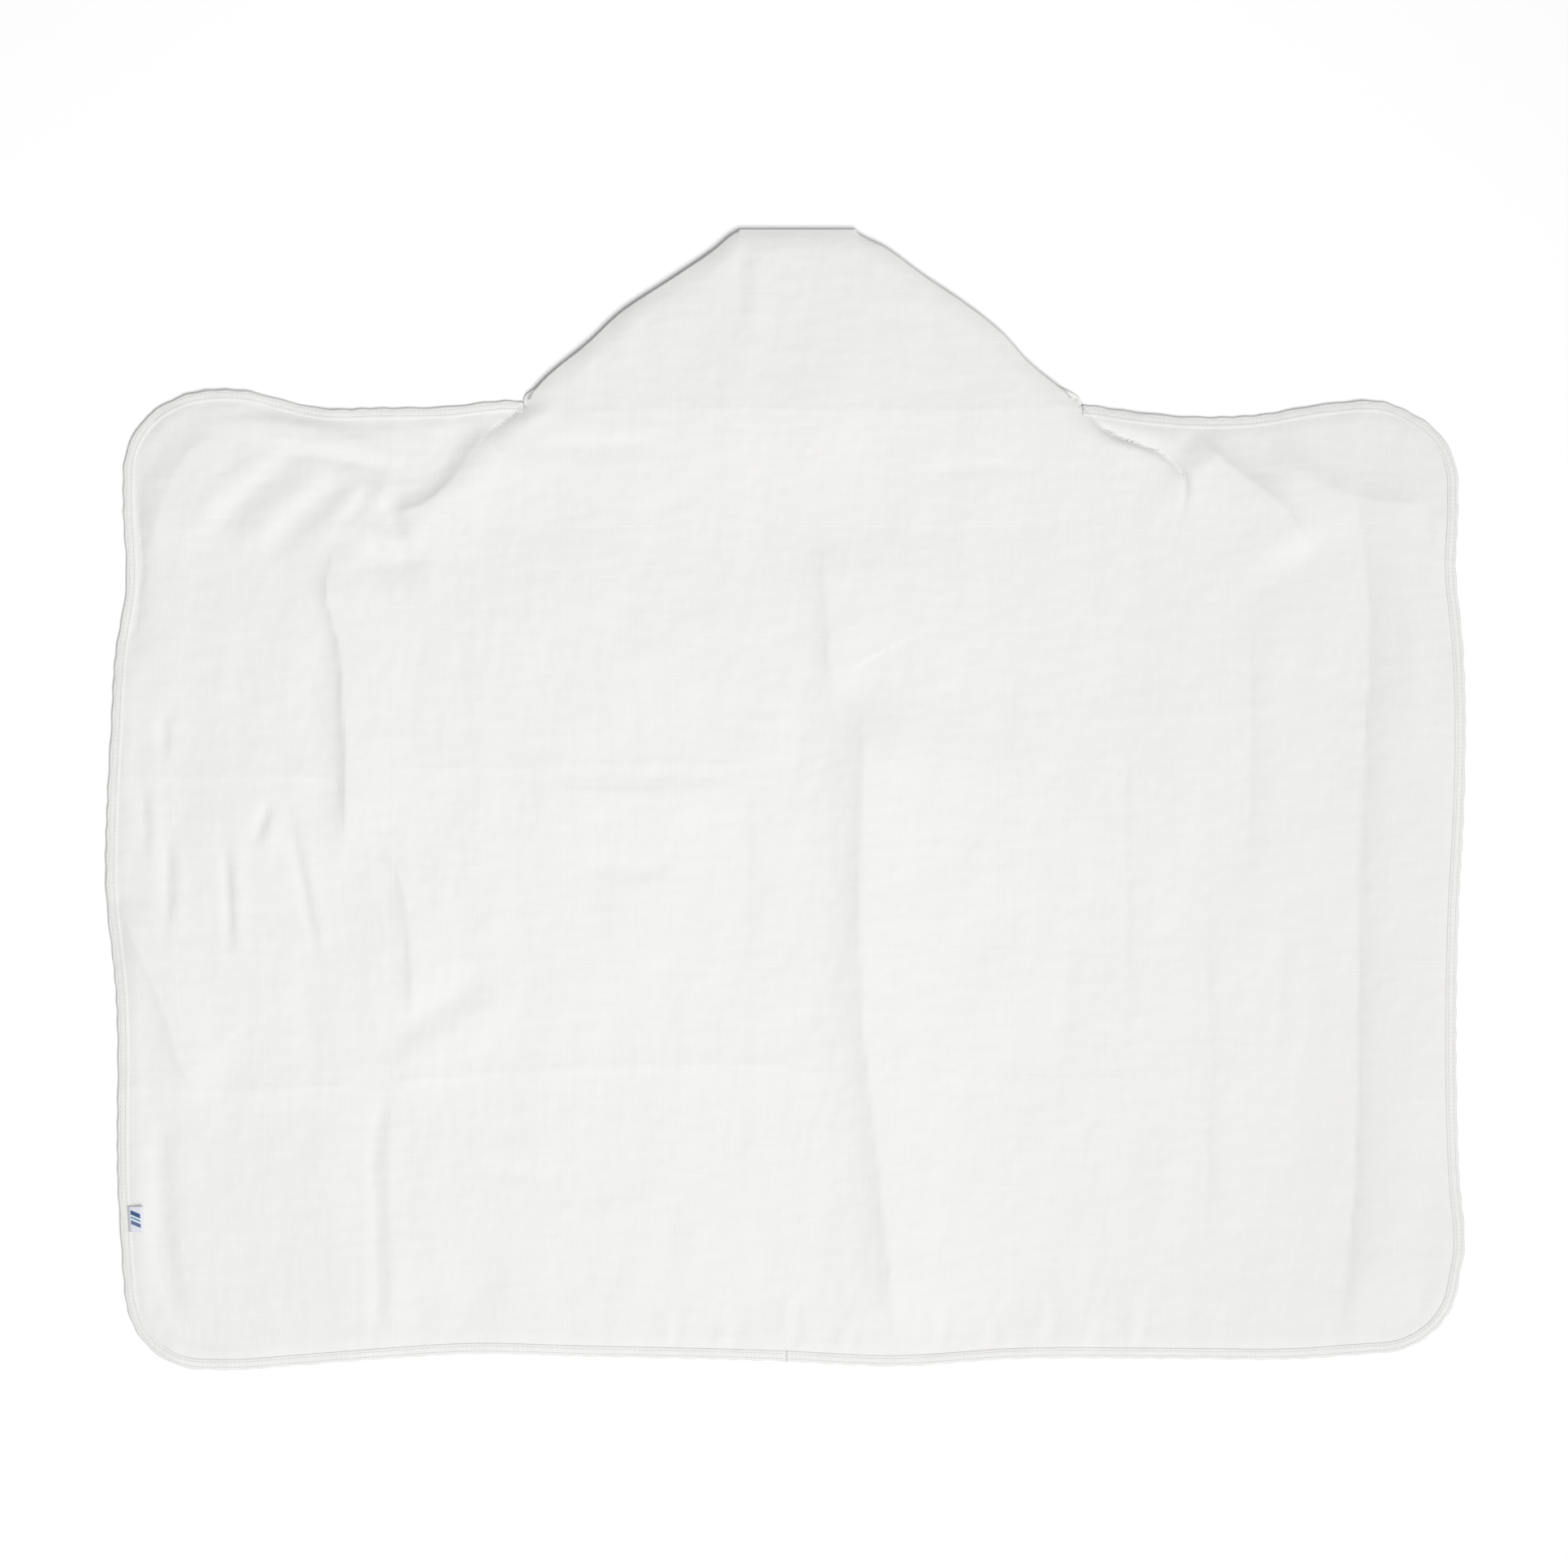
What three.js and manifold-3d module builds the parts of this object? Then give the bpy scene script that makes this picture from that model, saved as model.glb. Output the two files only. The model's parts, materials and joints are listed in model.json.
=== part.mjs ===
// A hooded baby towel, laid flat with its back up. Millimetres: +X across, +Y from the hem to the hood, +Z up.
// Double gauze muslin lies over a terry lining. The hood is a flat pocket of the same two cloths, open at the neck
// on the side that lies down. The cloth is cut apart along its fold lines, so that each part of it can turn.
import * as THREE from "three";
import { mergeVertices } from "three/addons/utils/BufferGeometryUtils.js";
import Module from "manifold-3d";

const wasm = await Module();
wasm.setup();

// The body of the towel
const BODY_WIDTH = 1105;
const BODY_HEIGHT = 783;
const CORNER_RADIUS = 62;
const SIDE_BOW = 5; // how far each side edge bulges at half height

// The hood
const HOOD_RISE = 143;
const HOOD_BASE_WIDTH = 449;
const HOOD_TOP_WIDTH = 105;
const HOOD_BASE_SHIFT = 14; // the hood lies a little to the right of the middle
const HOOD_TOP_SHIFT = 6;
const SLOPE_BOW = 7;
const FOLD_CLEARANCE = 44; // the wings' fold lines run this far outside the hood's base
const SEAM_ALLOWANCE = 8;
const POCKET_HEIGHT = 4.4; // the free height inside the hood
const FRONT_EDGE_RISE = 8; // the front panel's free edge lies this far above the hood's base
const MOUTH_WIDTH = 8; // between that edge and the body, where the head goes in
const NECK_RAMP_LENGTH = 30; // the body cloth climbs over this length to the back of the hood

// The cloths and threads
const MUSLIN_THICKNESS = 1;
const TERRY_THICKNESS = 3;
const BINDING_THICKNESS = 0.6;
const BINDING_WIDTH = 9;
const THREAD_WIDTH = 0.5;
const THREAD_HEIGHT = 0.4;
const OUTER_ROW_INSET = 2.5; // the two rows of stitches on the binding, from its outer edge
const INNER_ROW_INSET = 6.5;

// The side label, a short tape folded in two and sewn under the left binding
const LABEL_HEIGHT = 21;
const LABEL_LENGTH = 10.5;
const LABEL_TAPE = 0.35;
const LABEL_CENTRE_ABOVE_HEM = 122;

// Clearances
const GAP = 0.3; // between pieces that touch
const EDGE_INSET = BINDING_THICKNESS + 2 * GAP; // the cloths end this far inside the binding's outer edge

// Resolution of the curves
const CURVE_STEPS = 8;
const SLOPE_STEPS = 8;
const MERGE_DISTANCE = 1e-4;

// Places that follow from the sizes
const TOTAL_HEIGHT = BODY_HEIGHT + HOOD_RISE;
const HEM_Y = -TOTAL_HEIGHT / 2;
const NECK_Y = HEM_Y + BODY_HEIGHT;
const HOOD_TOP_Y = NECK_Y + HOOD_RISE;
const FOLD_X = HOOD_BASE_WIDTH / 2 + HOOD_BASE_SHIFT + FOLD_CLEARANCE;
const FRONT_EDGE_Y = NECK_Y + FRONT_EDGE_RISE;
const MOUTH_Y = FRONT_EDGE_Y - MOUTH_WIDTH; // the body cloth ends here under the hood, and the hood turns here
const CORE_INSET = BINDING_WIDTH + 2 * GAP; // inside this line the terry keeps its whole height

// Heights of the layers of the body, from the floor up
const RIM_LOW = BINDING_THICKNESS + GAP;
const MUSLIN_LOW = TERRY_THICKNESS + GAP;
const MUSLIN_TOP = MUSLIN_LOW + MUSLIN_THICKNESS;
const BINDING_TOP = MUSLIN_TOP + GAP + BINDING_THICKNESS;

// Heights of the layers of the hood, from the floor up
const FRONT_MUSLIN_TOP = RIM_LOW + MUSLIN_THICKNESS;
const FRONT_TERRY_LOW = FRONT_MUSLIN_TOP + GAP;
const FRONT_TOP = FRONT_TERRY_LOW + TERRY_THICKNESS;
const FRONT_RIM_TOP = FRONT_TOP - BINDING_THICKNESS - GAP;
const BACK_LOW = FRONT_TOP + POCKET_HEIGHT;
const BACK_TERRY_TOP = BACK_LOW + TERRY_THICKNESS;
const BACK_MUSLIN_LOW = BACK_TERRY_TOP + GAP;
const BACK_TOP = BACK_MUSLIN_LOW + MUSLIN_THICKNESS;

// Each cloth's finish
const FINISHES = {
  muslin: { color: 0xefefee, roughness: 0.92, metalness: 0 },
  terry: { color: 0xf2f1ee, roughness: 0.97, metalness: 0 },
  binding: { color: 0xececea, roughness: 0.9, metalness: 0 },
  thread: { color: 0xf6f6f4, roughness: 0.6, metalness: 0 },
  label: { color: 0xdfe2ea, roughness: 0.7, metalness: 0 },
};

function piece(name, finish, geometry) {
  const material = new THREE.MeshStandardMaterial(FINISHES[finish]);
  const mesh = new THREE.Mesh(geometry, material);
  mesh.name = name;
  return mesh;
}

function group(...meshes) {
  const made = new THREE.Group();
  made.add(...meshes);
  return made;
}

// Joins closed geometries into one with manifold-3d.
function joined(...geometries) {
  const solids = geometries.map((geometry) => {
    const bare = new THREE.BufferGeometry();
    bare.setAttribute("position", geometry.getAttribute("position"));
    bare.setIndex(geometry.index);
    const merged = mergeVertices(bare, MERGE_DISTANCE);
    const vertProperties = merged.getAttribute("position").array;
    const triVerts = new Uint32Array(merged.index.array);
    return new wasm.Manifold(new wasm.Mesh({ numProp: 3, vertProperties, triVerts }));
  });
  const mesh = solids.reduce((whole, solid) => whole.add(solid)).getMesh();
  const geometry = new THREE.BufferGeometry();
  geometry.setAttribute("position", new THREE.BufferAttribute(mesh.vertProperties, 3));
  geometry.setIndex(new THREE.BufferAttribute(mesh.triVerts, 1));
  return geometry;
}

// A flat slab of an outline's points, between two heights.
function plate(points, low, high) {
  const slab = new THREE.ExtrudeGeometry(new THREE.Shape(points), { depth: high - low, bevelEnabled: false });
  return slab.translate(0, 0, low);
}

// A box of countX by countY by 1 cells whose grid points are moved to place(i, j, k).
function mappedBox(countX, countY, place) {
  const box = new THREE.BoxGeometry(1, 1, 1, countX, countY, 1);
  const position = box.getAttribute("position");
  for (let n = 0; n < position.count; n++) {
    const i = Math.round((position.getX(n) + 0.5) * countX);
    const j = Math.round((position.getY(n) + 0.5) * countY);
    const k = Math.round(position.getZ(n) + 0.5);
    position.setXYZ(n, ...place(i, j, k).toArray());
  }
  return turnedOut(box);
}

// Turns a closed geometry's faces outwards where its mapping turned them in.
function turnedOut(geometry) {
  const position = geometry.getAttribute("position");
  const index = geometry.index.array;
  const corners = [0, 1, 2].map(() => new THREE.Vector3());
  let volume = 0;
  for (let n = 0; n < index.length; n += 3) {
    corners.forEach((corner, c) => corner.fromBufferAttribute(position, index[n + c]));
    volume += corners[0].dot(corners[1].clone().cross(corners[2]));
  }
  if (volume < 0) index.reverse();
  return geometry;
}

// A solid that follows an edge. edgeAt gives the edge's points at an inset, and outside and inside list the
// matching [inset, height] corners of its section's two faces.
function band(edgeAt, outside, inside) {
  const faces = [outside, inside].map((corners) =>
    corners.map(([inset, height]) => edgeAt(inset).map(({ x, y }) => new THREE.Vector3(x, y, height))),
  );
  const steps = faces[0][0].length - 1;
  return mappedBox(steps, outside.length - 1, (i, j, k) => faces[k][j][i]);
}

// A strip of cloth folded over an edge, between two heights.
function foldedBinding(edgeAt, low, high) {
  const innerLow = low + BINDING_THICKNESS;
  const innerHigh = high - BINDING_THICKNESS;
  const outside = [[BINDING_WIDTH, high], [0, high], [0, low], [BINDING_WIDTH, low]];
  const inside = [
    [BINDING_WIDTH, innerHigh],
    [BINDING_THICKNESS, innerHigh],
    [BINDING_THICKNESS, innerLow],
    [BINDING_WIDTH, innerLow],
  ];
  return band(edgeAt, outside, inside);
}

// A row of stitches that lies on a binding whose upper face is at the given height.
function stitchRow(edgeAt, inset, surface) {
  const low = surface + GAP;
  const high = low + THREAD_HEIGHT;
  const near = inset - THREAD_WIDTH / 2;
  const far = inset + THREAD_WIDTH / 2;
  return band(edgeAt, [[near, high], [far, high]], [[near, low], [far, low]]);
}

// The binding of one edge of the body with its two rows of stitches.
function boundEdge(name, edgeAt) {
  return [
    piece(`${name}_binding`, "binding", foldedBinding(edgeAt, 0, BINDING_TOP)),
    piece(`${name}_outer_stitching`, "thread", stitchRow(edgeAt, OUTER_ROW_INSET, BINDING_TOP)),
    piece(`${name}_inner_stitching`, "thread", stitchRow(edgeAt, INNER_ROW_INSET, BINDING_TOP)),
  ];
}

// A straight edge from one x to another at a height up the towel. up is 1 where the cloth lies below the edge.
function straightEdge(fromX, toX, y, up) {
  return (inset) => [new THREE.Vector2(fromX, y - up * inset), new THREE.Vector2(toX, y - up * inset)];
}

// The free edge of a wing at an inset, from the neck end of its fold line round to the hem end.
function wingEdge(side, inset) {
  const inner = FOLD_X + GAP / 2;
  const outer = BODY_WIDTH / 2 - SIDE_BOW - inset;
  const radius = CORNER_RADIUS - inset;
  const top = NECK_Y - inset;
  const low = HEM_Y + inset;
  const path = new THREE.Path();
  path.moveTo(inner, top);
  path.lineTo(outer - radius, top);
  path.absarc(outer - radius, top - radius, radius, Math.PI / 2, 0, true);
  path.quadraticCurveTo(outer + 2 * SIDE_BOW, (top + low) / 2, outer, low + radius);
  path.absarc(outer - radius, low + radius, radius, 0, -Math.PI / 2, true);
  path.lineTo(inner, low);
  return path.getPoints(CURVE_STEPS).map(({ x, y }) => new THREE.Vector2(side * x, y));
}

function makeWing(name, side) {
  const terry = joined(
    plate(wingEdge(side, EDGE_INSET), RIM_LOW, TERRY_THICKNESS),
    plate(wingEdge(side, CORE_INSET), 0, TERRY_THICKNESS),
  );
  return group(
    piece(`${name}_back_muslin`, "muslin", plate(wingEdge(side, EDGE_INSET), MUSLIN_LOW, MUSLIN_TOP)),
    piece(`${name}_lining_terry`, "terry", terry),
    ...boundEdge(name, (inset) => wingEdge(side, inset)),
  );
}

// The x of the hood's slope at a height, moved inwards by an inset. side is -1 for the left slope, 1 for the right.
function slopeX(side, y, inset) {
  const baseX = HOOD_BASE_SHIFT + (side * HOOD_BASE_WIDTH) / 2;
  const topX = HOOD_TOP_SHIFT + (side * HOOD_TOP_WIDTH) / 2;
  const rise = Math.max(0, (y - NECK_Y) / HOOD_RISE);
  const slant = Math.hypot(topX - baseX, HOOD_RISE) / HOOD_RISE;
  const bow = SLOPE_BOW * 4 * rise * (1 - rise);
  return THREE.MathUtils.lerp(baseX, topX, rise) + side * slant * (bow - inset);
}

function slopeEdge(side, inset, lowY, highY) {
  return Array.from({ length: SLOPE_STEPS + 1 }, (_, step) => {
    const y = THREE.MathUtils.lerp(lowY, highY, step / SLOPE_STEPS);
    return new THREE.Vector2(slopeX(side, y, inset), y);
  });
}

// The hood's outline, from a straight edge at lowY up one slope and down the other.
function hoodOutline(lowY) {
  const left = slopeEdge(-1, 0, lowY, HOOD_TOP_Y);
  const right = slopeEdge(1, 0, lowY, HOOD_TOP_Y).reverse();
  return [...left, ...right];
}

// The seam allowances turned into the hood along its two slopes and its top.
function makeSeamAllowances() {
  const low = FRONT_TOP + GAP;
  const high = BACK_LOW - GAP;
  const topLow = HOOD_TOP_Y - SEAM_ALLOWANCE;
  const section = (height) => [[GAP, height], [SEAM_ALLOWANCE, height]];
  const start = FRONT_EDGE_Y + BINDING_WIDTH + GAP;
  const slope = (side) => band(
    (inset) => slopeEdge(side, inset, start, topLow - GAP),
    section(high),
    section(low),
  );
  const topCorner = (side, y) => new THREE.Vector2(slopeX(side, y, GAP), y);
  const topEnd = HOOD_TOP_Y - GAP;
  const top = [topCorner(-1, topLow), topCorner(1, topLow), topCorner(1, topEnd), topCorner(-1, topEnd)];
  return [
    piece("hood_left_seam_allowance", "muslin", slope(-1)),
    piece("hood_right_seam_allowance", "muslin", slope(1)),
    piece("hood_top_seam_allowance", "muslin", plate(top, low, high)),
  ];
}

// The hood's front panel, which lies down, with the bound edge that goes over the forehead.
function makeHoodFront() {
  const clothEnd = FRONT_EDGE_Y + EDGE_INSET;
  const coreEnd = FRONT_EDGE_Y + CORE_INSET;
  const terry = joined(
    plate(hoodOutline(clothEnd), FRONT_TERRY_LOW, FRONT_RIM_TOP),
    plate(hoodOutline(coreEnd), FRONT_TERRY_LOW, FRONT_TOP),
  );
  const bindingEndY = FRONT_EDGE_Y + BINDING_WIDTH;
  const edge = straightEdge(slopeX(-1, bindingEndY, 0), slopeX(1, bindingEndY, 0), FRONT_EDGE_Y, -1);
  const binding = foldedBinding(edge, 0, FRONT_TOP);
  const middle = (OUTER_ROW_INSET + INNER_ROW_INSET) / 2;
  return [
    piece("hood_front_muslin", "muslin", plate(hoodOutline(clothEnd), RIM_LOW, FRONT_MUSLIN_TOP)),
    piece("hood_front_terry", "terry", terry),
    piece("hood_opening_binding", "binding", binding),
    piece("hood_opening_stitching", "thread", stitchRow(edge, middle, FRONT_TOP)),
  ];
}

function makeHood() {
  const outline = hoodOutline(MOUTH_Y + GAP);
  return group(
    piece("hood_back_muslin", "muslin", plate(outline, BACK_MUSLIN_LOW, BACK_TOP)),
    piece("hood_back_terry", "terry", plate(outline, BACK_LOW, BACK_TERRY_TOP)),
    ...makeSeamAllowances(),
    ...makeHoodFront(),
  );
}

// The centre's outline: bound at the hem and beside the hood, and cut off under the hood at the mouth.
function centreOutline(inset) {
  const side = FOLD_X - GAP / 2;
  const low = HEM_Y + inset;
  const top = NECK_Y - inset;
  const notch = (end) => slopeX(end, NECK_Y, 0);
  const points = [
    [-side, low],
    [side, low],
    [side, top],
    [notch(1), top],
    [notch(1), MOUTH_Y],
    [notch(-1), MOUTH_Y],
    [notch(-1), top],
    [-side, top],
  ];
  return points.map(([x, y]) => new THREE.Vector2(x, y));
}

// The part of a body cloth that climbs to the back of the hood, as a slab whose neck edge is lifted.
function neckRamp(low, high) {
  const lift = BACK_LOW;
  const ends = [slopeX(-1, NECK_Y, BINDING_WIDTH), slopeX(1, NECK_Y, BINDING_WIDTH)];
  return mappedBox(1, CURVE_STEPS, (i, j, k) => {
    const along = j / CURVE_STEPS;
    const climb = THREE.MathUtils.smoothstep(along, 0, 1);
    const y = MOUTH_Y - NECK_RAMP_LENGTH * (1 - along);
    return new THREE.Vector3(ends[i], y, (k === 0 ? low : high) + lift * climb);
  });
}

// The centre's outline without the strip where the ramp stands, and a gap on both sides of the ramp.
function rampNotched(inset) {
  const left = slopeX(-1, NECK_Y, BINDING_WIDTH) - GAP;
  const right = slopeX(1, NECK_Y, BINDING_WIDTH) + GAP;
  const start = MOUTH_Y - NECK_RAMP_LENGTH;
  const notch = [[right, MOUTH_Y], [right, start], [left, start], [left, MOUTH_Y]];
  const mouthEnd = 5; // the place in the outline after the mouth's right end
  const points = centreOutline(inset);
  points.splice(mouthEnd, 0, ...notch.map(([x, y]) => new THREE.Vector2(x, y)));
  return points;
}

function makeCentre() {
  const side = FOLD_X - GAP / 2;
  const hoodEnd = (end) => slopeX(end, NECK_Y, 0) + end * GAP;
  const muslin = joined(
    plate(rampNotched(EDGE_INSET), MUSLIN_LOW, MUSLIN_TOP),
    neckRamp(MUSLIN_LOW, MUSLIN_TOP),
  );
  const terry = joined(
    plate(rampNotched(EDGE_INSET), RIM_LOW, TERRY_THICKNESS),
    plate(rampNotched(CORE_INSET), 0, TERRY_THICKNESS),
    neckRamp(0, TERRY_THICKNESS),
  );
  return group(
    piece("centre_back_muslin", "muslin", muslin),
    piece("centre_lining_terry", "terry", terry),
    ...boundEdge("hem", straightEdge(-side, side, HEM_Y, -1)),
    ...boundEdge("top_left", straightEdge(-side, hoodEnd(-1), NECK_Y, 1)),
    ...boundEdge("top_right", straightEdge(hoodEnd(1), side, NECK_Y, 1)),
  );
}

// The label: two leaves of tape joined by the fold at their free end.
function makeLabel() {
  const rootX = -BODY_WIDTH / 2 + SIDE_BOW + BINDING_WIDTH + GAP;
  const tipX = rootX + LABEL_LENGTH;
  const centreY = HEM_Y + LABEL_CENTRE_ABOVE_HEM;
  const low = MUSLIN_TOP + GAP;
  const high = low + 2 * LABEL_TAPE + GAP;
  const turn = tipX - LABEL_TAPE;
  const section = [
    [rootX, low],
    [tipX, low],
    [tipX, high],
    [rootX, high],
    [rootX, high - LABEL_TAPE],
    [turn, high - LABEL_TAPE],
    [turn, low + LABEL_TAPE],
    [rootX, low + LABEL_TAPE],
  ];
  const shape = new THREE.Shape(section.map(([x, z]) => new THREE.Vector2(x, z)));
  const tape = new THREE.ExtrudeGeometry(shape, { depth: LABEL_HEIGHT, bevelEnabled: false });
  tape.rotateX(Math.PI / 2).translate(0, centreY + LABEL_HEIGHT / 2, 0);
  return group(piece("side_label", "label", tape));
}

const towel = new THREE.Group();
towel.add(
  makeCentre(),
  makeWing("left_wing", -1),
  makeWing("right_wing", 1),
  makeHood(),
  makeLabel(),
);

export default towel;
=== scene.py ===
"""A hooded baby towel of double gauze muslin and terry, spread on a pale floor with its back up.

The cloths, the bound edge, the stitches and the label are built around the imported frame. Lengths are in
metres, +X across the towel, +Y from the hem to the hood, +Z up. Routes of folds are written in millimetres.
"""

import json
import logging
import math
from dataclasses import dataclass, field
from enum import Enum
from typing import Callable

import bmesh
import bpy
import numpy as np
from mathutils import Matrix, Vector


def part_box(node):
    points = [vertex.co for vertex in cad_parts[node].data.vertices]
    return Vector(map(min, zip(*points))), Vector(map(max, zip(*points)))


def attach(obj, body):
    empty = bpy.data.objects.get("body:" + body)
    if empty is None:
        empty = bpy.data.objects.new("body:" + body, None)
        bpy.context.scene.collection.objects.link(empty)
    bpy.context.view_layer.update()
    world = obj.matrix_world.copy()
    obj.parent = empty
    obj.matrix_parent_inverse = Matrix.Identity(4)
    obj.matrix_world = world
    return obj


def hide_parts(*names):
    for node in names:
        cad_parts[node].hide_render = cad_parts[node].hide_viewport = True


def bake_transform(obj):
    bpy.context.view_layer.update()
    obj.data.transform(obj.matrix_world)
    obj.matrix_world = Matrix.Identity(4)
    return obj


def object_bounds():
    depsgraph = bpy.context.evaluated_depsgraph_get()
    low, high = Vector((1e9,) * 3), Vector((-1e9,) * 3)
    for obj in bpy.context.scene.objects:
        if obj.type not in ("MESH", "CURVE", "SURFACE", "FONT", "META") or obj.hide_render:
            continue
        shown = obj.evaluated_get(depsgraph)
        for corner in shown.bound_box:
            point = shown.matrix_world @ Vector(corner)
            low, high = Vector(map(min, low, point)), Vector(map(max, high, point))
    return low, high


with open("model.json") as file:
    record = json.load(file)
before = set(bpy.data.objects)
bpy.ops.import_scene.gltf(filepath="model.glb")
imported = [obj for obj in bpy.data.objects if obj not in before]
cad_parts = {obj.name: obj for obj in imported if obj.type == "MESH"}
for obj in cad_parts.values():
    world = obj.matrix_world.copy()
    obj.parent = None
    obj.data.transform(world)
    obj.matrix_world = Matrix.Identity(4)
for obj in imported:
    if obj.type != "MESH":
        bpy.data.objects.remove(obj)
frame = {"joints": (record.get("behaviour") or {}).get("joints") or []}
CAD_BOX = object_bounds()

MM = 0.001
CLOTH_UV = "cloth"
FULL_TURN = 2 * math.pi

log = logging.getLogger("towel")

Points = tuple[tuple[float, float], ...]
Places = tuple[np.ndarray, np.ndarray, np.ndarray]
Path = Callable[[np.ndarray], tuple[np.ndarray, np.ndarray]]


class Side(Enum):
    """The two halves of the towel, seen from above with the hood at the top."""

    LEFT = -1
    RIGHT = 1

    @property
    def word(self) -> str:
        """The side's name in piece and node names."""
        return self.name.lower()


class Bend(Enum):
    """How a fold's section goes: a soft swell, an ironed crease, or a slope with one sharp edge."""

    SOFT = 1
    PRESSED = 2
    SLOPE = 3


class Row(Enum):
    """The two rows of stitches on the bound edge, with their distance from its outer edge."""

    OUTER = 2.5 * MM
    INNER = 6.5 * MM


# ---------------------------------------------------------------------------------------------------------
# Curves and heights


def eased_step(share: np.ndarray) -> np.ndarray:
    """Returns 0 below 0, 1 above 1 and a smooth climb between."""
    t = np.clip(share, 0.0, 1.0)
    return t * t * (3.0 - 2.0 * t)


def eased_curve(points: Points, places: np.ndarray) -> np.ndarray:
    """Reads a smooth curve through a few points, level past both ends.

    Args:
        points: Place and value pairs, in order of place.
        places: Where to read the curve.

    Returns:
        The curve's values.
    """
    known, values = np.array(points, float).T
    slopes = np.gradient(values, known)
    slopes[[0, -1]] = 0.0
    at = np.clip(places, known[0], known[-1])
    span = np.clip(np.searchsorted(known, at, side="right") - 1, 0, len(known) - 2)
    step = known[span + 1] - known[span]
    t = (at - known[span]) / step
    rise = values[span + 1] - values[span]
    start, end = slopes[span] * step, slopes[span + 1] * step
    return values[span] + t * start + t * t * (3 * rise - 2 * start - end) + t**3 * (start + end - 2 * rise)


def smooth_route(points: Points, step: float) -> np.ndarray:
    """Runs a smooth line through points.

    Args:
        points: The points that the line passes, in metres.
        step: The distance between the line's own points.

    Returns:
        The line's points, one row each.
    """
    corners = np.array(points, float)
    lengths = np.hypot(*np.diff(corners, axis=0).T)
    along = np.concatenate([[0.0], np.cumsum(lengths)])
    count = max(3, int(along[-1] / step) + 1)
    reads = np.linspace(0.0, along[-1], count)
    slopes = np.gradient(corners, along, axis=0)
    span = np.clip(np.searchsorted(along, reads, side="right") - 1, 0, len(along) - 2)
    size = (along[span + 1] - along[span])[:, None]
    t = ((reads - along[span]) / size[:, 0])[:, None]
    rise = corners[span + 1] - corners[span]
    start, end = slopes[span] * size, slopes[span + 1] * size
    return corners[span] + t * start + t * t * (3 * rise - 2 * start - end) + t**3 * (start + end - 2 * rise)


def spaced(stops: list[float], steps: list[float]) -> np.ndarray:
    """Divides a line into stretches of different fineness.

    Args:
        stops: The ends of the stretches, rising.
        steps: About how far apart the places in each stretch are.

    Returns:
        All the places, both ends included.
    """
    parts = [np.array(stops[:1])]
    for low, high, step in zip(stops, stops[1:], steps):
        count = max(1, round((high - low) / step))
        parts.append(np.linspace(low, high, count + 1)[1:])
    return np.concatenate(parts)


@dataclass(frozen=True)
class Fold:
    """A ridge or a hollow that the cloth makes along a smooth route.

    Attributes:
        route: The points it passes, in millimetres.
        height: How high it stands, or how deep it lies if below 0, in millimetres.
        left: How wide it is on the left hand of someone who walks the route, in millimetres.
        right: How wide it is on the right hand, which is where a slope falls, or rises if the height
            is below 0.
        fade: The share of its length over which each end dies away.
        bend: How its section goes.
    """

    route: Points
    height: float
    left: float
    right: float
    fade: float = 0.3
    bend: Bend = Bend.SOFT

    def section(self, share: np.ndarray, sideways: np.ndarray) -> np.ndarray:
        """Returns the fold's section: its height over the cloth for a fold 1 high.

        Args:
            share: The distances from the route as shares of the width on that side.
            sideways: The same distances in metres, above 0 on the left hand.
        """
        if self.bend is Bend.PRESSED:
            return np.exp(-share)
        if self.bend is Bend.SOFT:
            return np.exp(-share * share)
        recovery = np.exp(-((np.abs(sideways) / (self.left * MM)) ** 1.5))
        above = 0.8 if self.height > 0 else 0.2
        return recovery * np.where(sideways > 0, above, np.exp(-share) - 1.0 + above)

    def add_to(self, heights: np.ndarray, xs: np.ndarray, ys: np.ndarray) -> None:
        """Adds the fold to a field of heights, whose columns are at xs and whose rows are at ys."""
        reach = 3.4 * MM * max(self.left, self.right)
        line = smooth_route(tuple((x * MM, y * MM) for x, y in self.route), 6 * MM)
        columns = np.flatnonzero((xs > line[:, 0].min() - reach) & (xs < line[:, 0].max() + reach))
        rows = np.flatnonzero((ys > line[:, 1].min() - reach) & (ys < line[:, 1].max() + reach))
        if not len(columns) or not len(rows):
            return
        x, y = np.meshgrid(xs[columns], ys[rows])
        nearest = np.full(x.shape, np.inf)
        sideways = np.zeros(x.shape)
        along = np.zeros(x.shape)
        for index, (start, end) in enumerate(zip(line, line[1:])):
            run = end - start
            length = np.hypot(*run)
            toward = run / length
            east, north = x - start[0], y - start[1]
            ahead = np.clip(east * toward[0] + north * toward[1], 0.0, length)
            off_east, off_north = east - ahead * toward[0], north - ahead * toward[1]
            distance = np.hypot(off_east, off_north)
            closer = distance < nearest
            nearest = np.where(closer, distance, nearest)
            turned = toward[0] * off_north - toward[1] * off_east
            sideways = np.where(closer, np.where(turned < 0, -distance, distance), sideways)
            along = np.where(closer, (index + ahead / length) / (len(line) - 1), along)
        width = np.where(sideways > 0, self.left, self.right) * MM
        share = np.abs(sideways) / width
        shape = self.section(share, sideways)
        ends = eased_step(np.minimum(along, 1.0 - along) / self.fade + 0.02)
        heights[np.ix_(rows, columns)] += self.height * MM * shape * ends


def offset_route(route: Points, sideways: float) -> Points:
    """Moves a route to its left by a distance, or to its right if that is below 0."""
    line = np.array(route, float)
    run = np.gradient(line, axis=0)
    run /= np.hypot(*run.T)[:, None]
    moved = line + sideways * np.stack([-run[:, 1], run[:, 0]], axis=1)
    return tuple((float(x), float(y)) for x, y in moved)


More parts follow.
